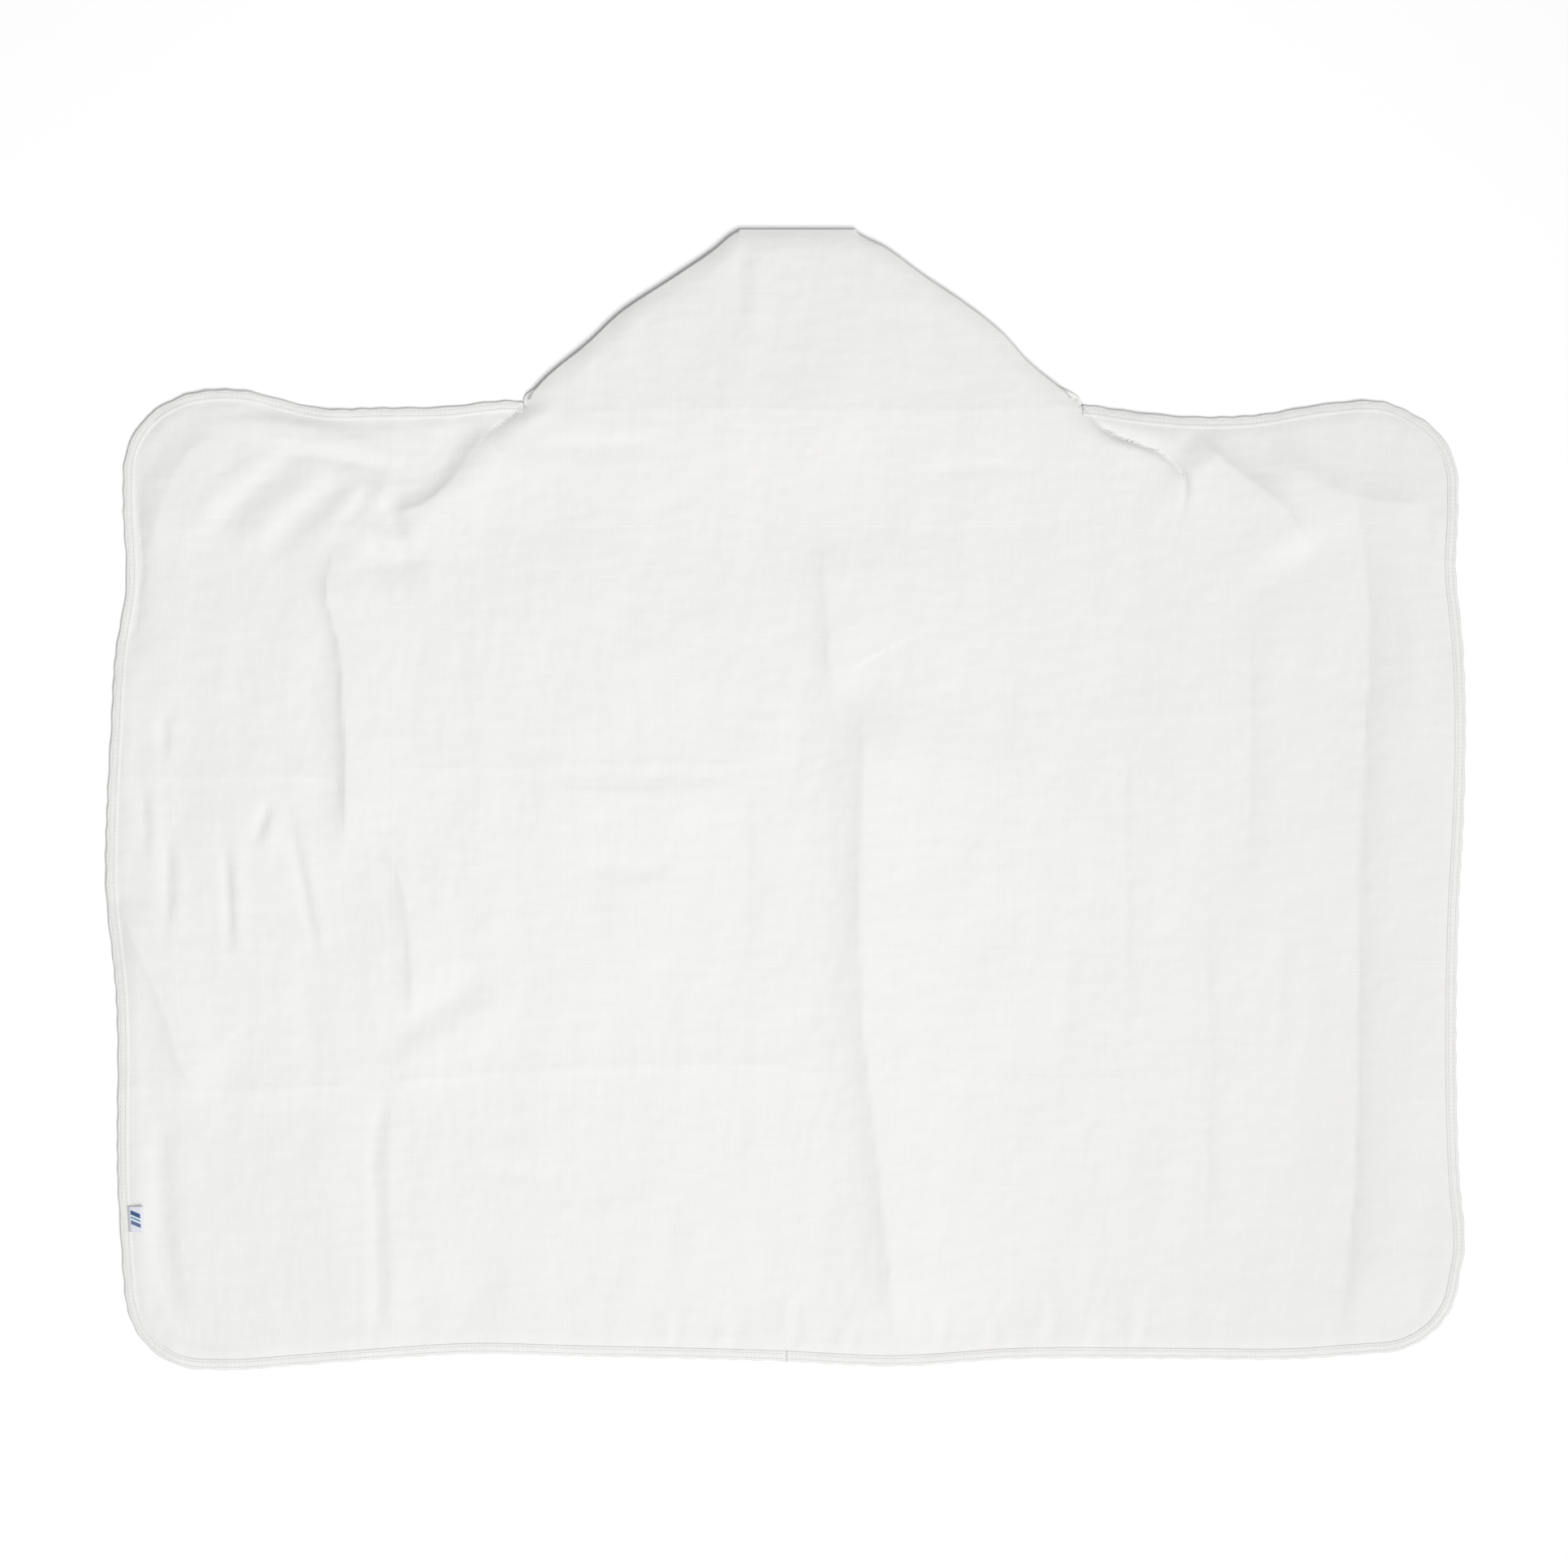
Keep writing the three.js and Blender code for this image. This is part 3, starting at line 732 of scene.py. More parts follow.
class Shader:
    """One cloth material with its nodes."""

    def __init__(self, name: str, roughness: float, sheen: float) -> None:
        """Starts a material with the values that are the same all over."""
        self.material = bpy.data.materials.new(name)
        self.material.use_nodes = True
        self.tree = self.material.node_tree
        self.tree.nodes.clear()
        even = {"Roughness": roughness, "Sheen Weight": sheen}
        self.surface = self.node("ShaderNodeBsdfPrincipled", {}, even)
        self.node("ShaderNodeOutputMaterial", {}, {"Surface": self.surface.outputs["BSDF"]})
        cloth = self.node("ShaderNodeUVMap", {"uv_map": CLOTH_UV}, {})
        split = self.node("ShaderNodeSeparateXYZ", {}, {0: cloth.outputs["UV"]})
        self.x = Signal(self, split.outputs["X"])
        self.y = Signal(self, split.outputs["Y"])

    def node(self, kind: str, settings: dict, sockets: dict) -> bpy.types.Node:
        """Adds a node.

        Args:
            kind: The node's type.
            settings: Its own settings, which are set first.
            sockets: Values or links for its sockets, by name or number.

        Returns:
            The node.
        """
        made = self.tree.nodes.new(kind)
        for name, value in settings.items():
            setattr(made, name, value)
        for key, value in sockets.items():
            source = value.socket if isinstance(value, Signal) else value
            if isinstance(source, bpy.types.NodeSocket):
                self.tree.links.new(source, made.inputs[key])
            else:
                made.inputs[key].default_value = source
        return made

    def maths(self, operation: str, first: Signal | float, second: Signal | float) -> Signal:
        """Adds a Math node and returns its result."""
        made = self.node("ShaderNodeMath", {"operation": operation}, {0: first, 1: second})
        return Signal(self, made.outputs[0])

    def vector(self, x: Signal | float, y: Signal | float) -> bpy.types.NodeSocket:
        """Joins two numbers to a flat vector."""
        return self.node("ShaderNodeCombineXYZ", {}, {"X": x, "Y": y}).outputs[0]

    def noise(self, x: Signal | float, y: Signal | float, detail: float = 2.0) -> Signal:
        """Returns smooth noise about 0.5 over two numbers."""
        sockets = {"Vector": self.vector(x, y), "Scale": 1.0, "Detail": detail}
        made = self.node("ShaderNodeTexNoise", {"noise_dimensions": "2D"}, sockets)
        return Signal(self, made.outputs[0])

    def chance(self, x: Signal) -> Signal:
        """Returns a random number from 0 to 1 for each value of a number."""
        made = self.node("ShaderNodeTexWhiteNoise", {"noise_dimensions": "1D"}, {"W": x})
        return Signal(self, made.outputs["Value"])

    def mix(self, share: Signal, first: object, second: object) -> bpy.types.NodeSocket:
        """Mixes two colours by a share and returns the colour."""
        settings = {"data_type": "RGBA", "blend_type": "MIX"}
        return self.node("ShaderNodeMix", settings, {0: share, 6: first, 7: second}).outputs[2]

    def paint(self, colour: bpy.types.NodeSocket) -> None:
        """Feeds the base colour."""
        self.tree.links.new(colour, self.surface.inputs["Base Color"])

    def emboss(self, height: Signal, depth: float) -> None:
        """Feeds the normal with a height from 0 to 1 that stands for a depth in metres."""
        bump = self.node("ShaderNodeBump", {}, {"Height": height, "Distance": depth, "Strength": 1.0})
        self.tree.links.new(bump.outputs["Normal"], self.surface.inputs["Normal"])


Colour = tuple[float, float, float, float]


@dataclass(frozen=True)
class Muslin:
    """Double gauze: a fine open weave of two yarns, with thicker yarns here and there."""

    name: str = "muslin_gauze"
    yarn: float = 0.9 * MM
    body: Colour = (0.770, 0.766, 0.759, 1.0)
    # Painted shade: the darker colour that the low streaks of the weave's bump are painted with
    hollow: Colour = (0.752, 0.748, 0.740, 1.0)
    slub: Colour = (0.797, 0.795, 0.789, 1.0)
    roughness: float = 0.95
    sheen: float = 0.12
    depth: float = 0.045 * MM
    plain_share: float = 0.925
    slub_length: float = 21 * MM

    def slubs(self, shader: Shader, across: Signal, along: Signal, start: float) -> Signal:
        """Marks the thick stretches of one of the two yarns.

        Args:
            shader: The material.
            across: The place across the yarns.
            along: The place along them.
            start: A number that makes this yarn's thick stretches differ from the other's.

        Returns:
            1 on a thick stretch and 0 elsewhere.
        """
        number = (across / self.yarn).floor()
        thick = shader.chance(number + start) > self.plain_share
        stretch = shader.noise(number * 0.731 + start, along / self.slub_length, 1.0) > 0.5
        return thick * stretch

    def make(self) -> bpy.types.Material:
        """Builds the material."""
        shader = Shader(self.name, self.roughness, self.sheen)
        x, y = shader.x, shader.y
        fine, long = 2.2 * MM, 34 * MM
        streaks = shader.noise(x / fine, y / long) + shader.noise(x / long + 9.0, y / fine)
        patches = shader.noise(x / (55 * MM), y / (55 * MM), 3.0)
        # The ground is painted darker along the low streaks of the bump, which is painted shade, and varies
        # in broad patches at random
        shade = (streaks - 0.6) + (patches - 0.5) * 0.5
        slubs = self.slubs(shader, x, y, 3.0) + self.slubs(shader, y, x, 47.0)
        weave = (x * (FULL_TURN / self.yarn)).sine() * (y * (FULL_TURN / self.yarn)).sine()
        ground = shader.mix(shade, self.hollow, self.body)
        shader.paint(shader.mix(slubs * 0.55, ground, self.slub))
        shader.emboss(weave * 0.25 + slubs * 0.9 + streaks * 0.9, self.depth)
        return shader.material


@dataclass(frozen=True)
class Terry:
    """Baby terry: a dense pile of small loops."""

    name: str = "terry_loops"
    loop: float = 2.1 * MM
    tip: Colour = (0.80, 0.793, 0.772, 1.0)
    # Painted shade: the darker colour at the loops' roots, where the pile shades itself
    root: Colour = (0.60, 0.588, 0.560, 1.0)
    roughness: float = 0.97
    sheen: float = 0.25
    depth: float = 1.1 * MM

    def make(self) -> bpy.types.Material:
        """Builds the material."""
        shader = Shader(self.name, self.roughness, self.sheen)
        x, y = shader.x, shader.y
        sway = (shader.noise(x / (9 * MM), y / (9 * MM)) - 0.5) * 1.6
        place = shader.vector(x / self.loop + sway, y / (0.8 * self.loop))
        sockets = {"Vector": place, "Scale": 1.0}
        cells = shader.node("ShaderNodeTexVoronoi", {"voronoi_dimensions": "2D"}, sockets)
        fall = Signal(shader, cells.outputs["Distance"])
        height = 1.0 - fall * fall * 1.3
        patches = shader.noise(x / (30 * MM), y / (30 * MM), 3.0)
        # Painted shade: each loop is painted darker towards its root, low in the bump, and the broad patches
        # vary the tone at random
        shader.paint(shader.mix(height * 0.85 + patches * 0.25, self.root, self.tip))
        shader.emboss(height, self.depth)
        return shader.material


@dataclass(frozen=True)
class BindingCloth:
    """Muslin tape cut on the bias, so that its yarns cross the edge at a slant."""

    name: str = "bias_binding"
    yarn: float = 0.8 * MM
    body: Colour = (0.785, 0.782, 0.772, 1.0)
    # Painted shade: the darker colour that the low streaks of the tape's bump are painted with
    hollow: Colour = (0.705, 0.700, 0.688, 1.0)
    roughness: float = 0.93
    sheen: float = 0.1
    depth: float = 0.12 * MM

    def make(self) -> bpy.types.Material:
        """Builds the material."""
        shader = Shader(self.name, self.roughness, self.sheen)
        rising, falling = shader.x + shader.y, shader.x - shader.y
        turn = FULL_TURN / (self.yarn * math.sqrt(2.0))
        weave = (rising * turn).sine() * (falling * turn).sine()
        slant = shader.noise(rising / (1.6 * MM), falling / (9 * MM))
        patches = shader.noise(shader.x / (14 * MM), shader.y / (3 * MM), 3.0)
        # Painted shade: the tape is painted darker where its slanted streaks and patches lie low in the bump
        shader.paint(shader.mix(slant * 0.7 + patches * 0.7, self.hollow, self.body))
        shader.emboss(weave * 0.3 + slant * 0.8 + patches, self.depth)
        return shader.material


@dataclass(frozen=True)
class Thread:
    """Spun sewing thread of three plies."""

    name: str = "sewing_thread"
    ply: float = 0.45 * MM
    body: Colour = (0.78, 0.778, 0.77, 1.0)
    # Painted shade: the darker colour in the grooves between the thread's plies
    hollow: Colour = (0.66, 0.656, 0.645, 1.0)
    roughness: float = 0.6
    sheen: float = 0.1
    depth: float = 0.06 * MM

    def make(self) -> bpy.types.Material:
        """Builds the material."""
        shader = Shader(self.name, self.roughness, self.sheen)
        twist = ((shader.x + shader.y) * (FULL_TURN / self.ply)).sine() * 0.5 + 0.5
        fuzz = shader.noise(shader.x / (0.3 * MM), shader.y / (0.3 * MM))
        # Painted shade: the thread is painted darker in the grooves of its twist, and the fuzz varies it at
        # random
        shader.paint(shader.mix(twist * 0.6 + fuzz * 0.4, self.hollow, self.body))
        shader.emboss(twist, self.depth)
        return shader.material


@dataclass(frozen=True)
class LabelTape:
    """Satin tape with a few plain slanted marks that stand for a print."""

    name: str = "label_tape"
    # ground and pale are painted shade and painted light: the tape's blue, darker in the ribs' grooves and
    # lighter on their crests
    ground: Colour = (0.66, 0.68, 0.76, 1.0)
    pale: Colour = (0.80, 0.81, 0.86, 1.0)
    navy: Colour = (0.035, 0.085, 0.22, 1.0)
    teal: Colour = (0.10, 0.33, 0.42, 1.0)
    roughness: float = 0.55
    sheen: float = 0.1
    depth: float = 0.05 * MM

    def make(self) -> bpy.types.Material:
        """Builds the material. Its coordinates run 0 to 1 from the root to the tip and up the label."""
        shader = Shader(self.name, self.roughness, self.sheen)
        out, up = shader.x, shader.y
        ribs = (up * (FULL_TURN * 34)).sine() * 0.5 + 0.5
        threads = shader.noise(out * 40.0, up * 6.0)
        # Painted light and shade: the tape is painted pale on the crests of its ribs and darker in their
        # grooves, and the threads vary it at random
        ground = shader.mix(ribs * 0.35 + threads * 0.5, self.ground, self.pale)
        slanted = up + out * 0.22
        middle = 0.34 - out.distance_to(0.52)
        first = (0.085 - slanted.distance_to(0.80)) > 0.0
        second = (0.075 - slanted.distance_to(0.42)) > 0.0
        third = (0.035 - slanted.distance_to(0.61)) > 0.0
        inside = middle > 0.0
        with_navy = shader.mix((first + second * 0.9) * inside, ground, self.navy)
        shader.paint(shader.mix(third * inside, with_navy, self.teal))
        shader.emboss(ribs, self.depth)
        return shader.material


@dataclass
class Finishes:
    """Every material of the towel, made once."""

    muslin: bpy.types.Material = field(default_factory=lambda: Muslin().make())
    terry: bpy.types.Material = field(default_factory=lambda: Terry().make())
    binding: bpy.types.Material = field(default_factory=lambda: BindingCloth().make())
    thread: bpy.types.Material = field(default_factory=lambda: Thread().make())
    label: bpy.types.Material = field(default_factory=lambda: LabelTape().make())


# ---------------------------------------------------------------------------------------------------------
# The body


@dataclass
class Cloths:
    """The thicknesses of the towel's layers, and the places of its layers near an edge.

    Attributes:
        muslin: The thickness of the double gauze.
        terry: The thickness of the terry.
        binding: The thickness of the binding.
        gap: The air between two layers.
        binding_width: How far the binding reaches over each face.
        edge_inset: How far inside the binding's outer edge the cloths end.
    """

    muslin: float = 1.0 * MM
    terry: float = 2.9 * MM
    binding: float = 0.55 * MM
    gap: float = 0.15 * MM
    binding_width: float = 9.0 * MM
    edge_inset: float = 1.5 * MM


@dataclass
class BodyHalf:
    """One half of the towel's body, from its middle to a side edge.

    Attributes:
        side: Which half it is.
        lie: How the towel lies.
        cloths: The layers' thicknesses.
        coarse: The step of the muslin's grid on even cloth.
        fine: The step of the muslin's grid on the rolls beside the hood.
        bend: The width of a strip along the wing's fold line, which is not used.
    """

    side: Side
    lie: Lie
    cloths: Cloths
    coarse: float = 3.6 * MM
    fine: float = 2.1 * MM
    bend: float = 19 * MM

    @property
    def wing(self) -> str:
        """The name of the wing body on this half's side."""
        return f"{self.side.word}_wing"

    @property
    def fold_x(self) -> float:
        """The place of the wing's fold line."""
        joint = next(j for j in frame["joints"] if j["child"] == self.wing)
        return joint["pos_m"][0]

    def root_x(self) -> float:
        """Returns how far from the middle the hood starts on this side."""
        return abs(float(self.lie.seam_x(self.side, np.array([self.lie.neck_y]))[0]))

    def blend(self, piece: bpy.types.Object) -> None:
        """Bakes a piece's transform into its mesh."""
        end = self.fold_x + self.side.value * self.bend
        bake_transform(piece)

    def columns(self, step: float, fine: float) -> np.ndarray:
        """Returns the distances of a sheet's columns from the middle, closer together round the corners."""
        lie, inset = self.lie, self.cloths.edge_inset
        radius = lie.corner_radius - inset
        start = lie.half_width - inset - radius
        stops = [0.0, self.root_x(), self.root_x() + 125 * MM, start]
        inner = spaced(stops, [step, fine, step])
        turns = spaced([0.0, math.pi / 2], [step / radius])[1:]
        return np.concatenate([inner, start + radius * np.sin(turns)])

    def rows(self, step: float, fine: float) -> np.ndarray:
        """Returns the shares of the height at which a sheet's rows lie, closer together near the hood."""
        lie, inset = self.lie, self.cloths.edge_inset
        low, high = lie.hem_y + inset, lie.neck_y - inset
        places = spaced([low, high - 130 * MM, high], [step, fine])
        return (places - low) / (high - low)

    def cut(self, out: np.ndarray, share: np.ndarray) -> tuple[np.ndarray, np.ndarray]:
        """Returns places in the flat cut, from distances from the middle and shares of the height there."""
        lie, inset = self.lie, self.cloths.edge_inset
        radius = lie.corner_radius - inset
        into_corner = np.clip(out - (lie.half_width - inset - radius), 0.0, radius)
        drop = radius - np.sqrt(np.maximum(radius**2 - into_corner**2, 0.0))
        low, high = lie.hem_y + inset + drop, lie.neck_y - inset - drop
        return self.side.value * out, low + (high - low) * share

    def build_muslin(self) -> bpy.types.Object:
        """Builds the back cloth."""

        def put(out: np.ndarray, share: np.ndarray, layer: np.ndarray) -> Placed:
            """Places the piece's points."""
            cut_x, cut_y = self.cut(out, share)
            x, y = self.lie.place(cut_x, cut_y)
            top = self.lie.height(x, y)
            z = np.where(layer == 1, top, top - self.cloths.muslin)
            normals = self.lie.normals(x, y) * np.where(layer == 1, 1.0, -1.0)[:, None]
            return Placed(np.stack([cut_x, cut_y], 1), np.stack([x, y, z], 1), normals)

        columns, rows = self.columns(self.coarse, self.fine), self.rows(self.coarse, self.fine)
        return slab(f"body_{self.side.word}_muslin", columns, rows, put)

    def build_terry(self) -> bpy.types.Object:
        """Builds the lining, which fills the height under the muslin down to the floor."""
        cloths = self.cloths

        def put(out: np.ndarray, share: np.ndarray, layer: np.ndarray) -> Placed:
            """Places the piece's points."""
            cut_x, cut_y = self.cut(out, share)
            x, y = self.lie.place(cut_x, cut_y)
            upper = self.lie.height(x, y) - cloths.muslin - cloths.gap
            tucked = 1.0 - eased_step((self.lie.rim(x, y) - cloths.binding_width) / (5 * MM))
            floor = tucked * (cloths.binding + cloths.gap)
            lower = np.maximum(upper - cloths.terry, floor)
            z = np.where(layer == 1, np.maximum(upper, lower + 0.5 * MM), lower)
            return Placed(np.stack([cut_x, cut_y], 1), np.stack([x, y, z], 1))

        columns, rows = self.columns(6 * MM, 5 * MM), self.rows(6 * MM, 5 * MM)
        return slab(f"body_{self.side.word}_terry", columns, rows, put)

    def edge_path(self, step: float) -> Places:
        """Follows the cut's edge from the hood round the side to the middle of the hem.

        Args:
            step: The distance between points.

        Returns:
            The points on the edge, the directions into the cloth there, and the distances along the edge.
        """
        lie = self.lie
        radius = lie.corner_radius
        corner_x, top_y, low_y = lie.half_width - radius, lie.neck_y - radius, lie.hem_y + radius
        points, inward = [], []

        def straight(start: tuple[float, float], end: tuple[float, float], into: tuple[float, float]) -> None:
            """Adds a straight stretch of the edge."""
            count = max(2, round(math.dist(start, end) / step))
            for share in np.linspace(0.0, 1.0, count, endpoint=False):
                x = start[0] + (end[0] - start[0]) * share
                y = start[1] + (end[1] - start[1]) * share
                points.append((x, y))
                inward.append(into)

        def corner(centre_y: float, first: float, last: float) -> None:
            """Adds the round corner about a centre."""
            count = round(radius * abs(last - first) / step)
            for turn in np.linspace(first, last, count, endpoint=False):
                points.append((corner_x + radius * math.cos(turn), centre_y + radius * math.sin(turn)))
                inward.append((-math.cos(turn), -math.sin(turn)))

        straight((self.root_x() + 1 * MM, lie.neck_y), (corner_x, lie.neck_y), (0.0, -1.0))
        corner(top_y, math.pi / 2, 0.0)
        straight((lie.half_width, top_y), (lie.half_width, low_y), (-1.0, 0.0))
        corner(low_y, 0.0, -math.pi / 2)
        straight((corner_x, lie.hem_y), (0.0, lie.hem_y), (0.0, 1.0))
        points.append((0.0, lie.hem_y))
        inward.append((0.0, 1.0))
        mirror = np.array([self.side.value, 1.0])
        line, into = np.array(points) * mirror, np.array(inward) * mirror
        along = np.concatenate([[0.0], np.cumsum(np.hypot(*np.diff(line, axis=0).T))])
        return line, into, along

    def binding_lift(self, inset: np.ndarray, along: np.ndarray) -> np.ndarray:
        """Returns how high the binding's upper face is over the muslin, with its puckers."""
        swing = np.sin(FULL_TURN * along / (7.3 * MM) + 1.6 * np.sin(FULL_TURN * along / (43 * MM)))
        strength = 0.6 + 0.4 * np.sin(FULL_TURN * along / (97 * MM))
        rows = [np.exp(-(((inset - row.value) / (0.9 * MM)) ** 2)) for row in Row]
        free = 1.0 - np.clip(rows[0] + rows[1], 0.0, 1.0)
        pinned = np.clip((self.cloths.binding_width - inset) / (1.6 * MM), 0.0, 1.0)
        thick = (self.cloths.binding + self.cloths.gap) * (0.35 + 0.65 * pinned)
        return thick + 0.2 * MM * free * pinned * (1.0 + strength * swing)

    def build_binding(self) -> bpy.types.Object:
        """Builds the bias tape folded over the edge."""
        cloths, width = self.cloths, self.cloths.binding_width
        line, into, along = self.edge_path(2.4 * MM)
        upper = np.array([9.0, 8.3, 7.4, 6.5, 5.6, 4.5, 3.4, 2.5, 1.8]) * MM
        bend_out = 1.8 * MM
        turns = np.linspace(0.0, math.pi, 9)[1:-1]
        round_inset = bend_out * (1.0 - np.sin(turns))
        round_share = 0.5 + 0.5 * np.cos(turns)
        lower = np.array([1.8, 4.0, 6.5, 9.0]) * MM
        # The outer face runs from the upper edge round to the lower one, and the inner face comes back
        insets = np.concatenate([upper, round_inset, lower, lower[::-1], upper[::-1]])
        shares = np.concatenate([np.ones(9), round_share, np.zeros(4), np.zeros(4), np.ones(9)])
        outer_count = 9 + len(turns) + 4
        is_inner = np.arange(len(insets)) >= outer_count
        insets = np.where(is_inner, np.minimum(insets + cloths.binding * (insets < 2 * MM), width), insets)
        run = np.concatenate([[0.0], np.cumsum(np.hypot(np.diff(insets), 5 * MM * np.diff(shares)))])

        def put(step: np.ndarray, corner: np.ndarray) -> Placed:
            """Places the piece's points."""
            s, inset, share = along[step], insets[corner], shares[corner]
            sway = 0.35 * MM * np.sin(FULL_TURN * s / (23 * MM) + 2.0 * np.sin(FULL_TURN * s / (131 * MM)))
            cut = line[step] + into[step] * (inset + sway * (1.0 - inset / width))[:, None]
            x, y = self.lie.place(cut[:, 0], cut[:, 1])
            seat = line[step] + into[step] * np.maximum(inset, cloths.edge_inset)[:, None]
            seat_x, seat_y = self.lie.place(seat[:, 0], seat[:, 1])
            top = self.lie.height(seat_x, seat_y) + self.binding_lift(inset, s)
            wall = np.where(is_inner[corner], cloths.binding, 0.0)
            z = np.where(share > 0.999, top - wall, share * top + (1.0 - share) * wall)
            return Placed(np.stack([s, run[corner]], 1), np.stack([x, y, z], 1))

        return tube(f"edge_binding_{self.side.word}", len(line) - 1, len(insets), put)

    def build_stitches(self, row: Row) -> bpy.types.Object:
        """Builds one row of stitches on the binding, each a short bulge of thread."""
        length, thick, pitch = 2.9 * MM, 0.62 * MM, 3.5 * MM
        line, into, along = self.edge_path(1.0 * MM)
        places = np.arange(pitch, along[-1] - pitch / 2, pitch)
        ends = []
        for shift in (-length / 2, 0.0, length / 2):
            at = places + shift
            cut = [np.interp(at, along, line[:, k] + into[:, k] * row.value) for k in (0, 1)]
            x, y = self.lie.place(cut[0], cut[1])
            lift = self.binding_lift(np.full(len(x), row.value), at)
            z = self.lie.height(x, y) + lift + 0.12 * MM
            ends.append(np.stack([x, y, z], 1))
        return stitch_row(f"edge_stitches_{row.name.lower()}_{self.side.word}", ends, thick)

    def build(self, finishes: Finishes) -> None:
        """Builds and dresses every piece of this half."""
        word = self.side.word
        top_edge = f"top_{word}"
        muslin, terry = self.build_muslin(), self.build_terry()
        binding = self.build_binding()
        rows = [self.build_stitches(row) for row in Row]
        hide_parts("centre_back_muslin", f"{self.wing}_back_muslin")
        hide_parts("centre_lining_terry", f"{self.wing}_lining_terry")
        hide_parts("hem_binding", f"{top_edge}_binding", f"{self.wing}_binding")
        for row, stitches in zip(Row, rows):
            kind = f"{row.name.lower()}_stitching"
            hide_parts(f"hem_{kind}", f"{top_edge}_{kind}", f"{self.wing}_{kind}")
            dress(stitches, finishes.thread)
        dress(muslin, finishes.muslin)
        dress(terry, finishes.terry)
        dress(binding, finishes.binding)
        for piece in (muslin, terry, binding, *rows):
            self.blend(piece)
            report(piece)


def stitch_row(name: str, ends: list[np.ndarray], thick: float) -> bpy.types.Object:
    """Builds a row of stitches.

    Args:
        name: The piece's name.
        ends: The starts, middles and ends of all stitches, one row for each stitch.
        thick: The thread's thickness.

    Returns:
        The row as one piece.
    """
    starts, middles, tips = ends
    stitch = bmesh.new()
    upright = Matrix.Rotation(math.pi / 2, 4, "Y")
    bmesh.ops.create_uvsphere(stitch, u_segments=6, v_segments=4, radius=1.0, matrix=upright)
    shape = np.array([vert.co for vert in stitch.verts])
    one = bpy.data.meshes.new(f"{name}_one")
    stitch.to_mesh(one)
    stitch.free()
    bm = bmesh.new()
    for _ in middles:
        bm.from_mesh(one)
    mesh = bpy.data.meshes.new(name)
    bm.to_mesh(mesh)
    bm.free()
    bpy.data.meshes.remove(one)
    run = tips - starts
    forward = run / np.linalg.norm(run, axis=1)[:, None]
    side = np.cross([0.0, 0.0, 1.0], forward)
    side /= np.linalg.norm(side, axis=1)[:, None]
    up = np.cross(forward, side)
    points = (
        middles[:, None, :]
        + run[:, None, :] / 2 * shape[None, :, :1]
        + side[:, None, :] * thick / 2 * shape[None, :, 1:2]
        + up[:, None, :] * 0.4 * thick * shape[None, :, 2:]
    ).reshape(-1, 3)
    return shown_mesh(mesh, Placed(points[:, :2].copy(), points))


# ---------------------------------------------------------------------------------------------------------
# The hood


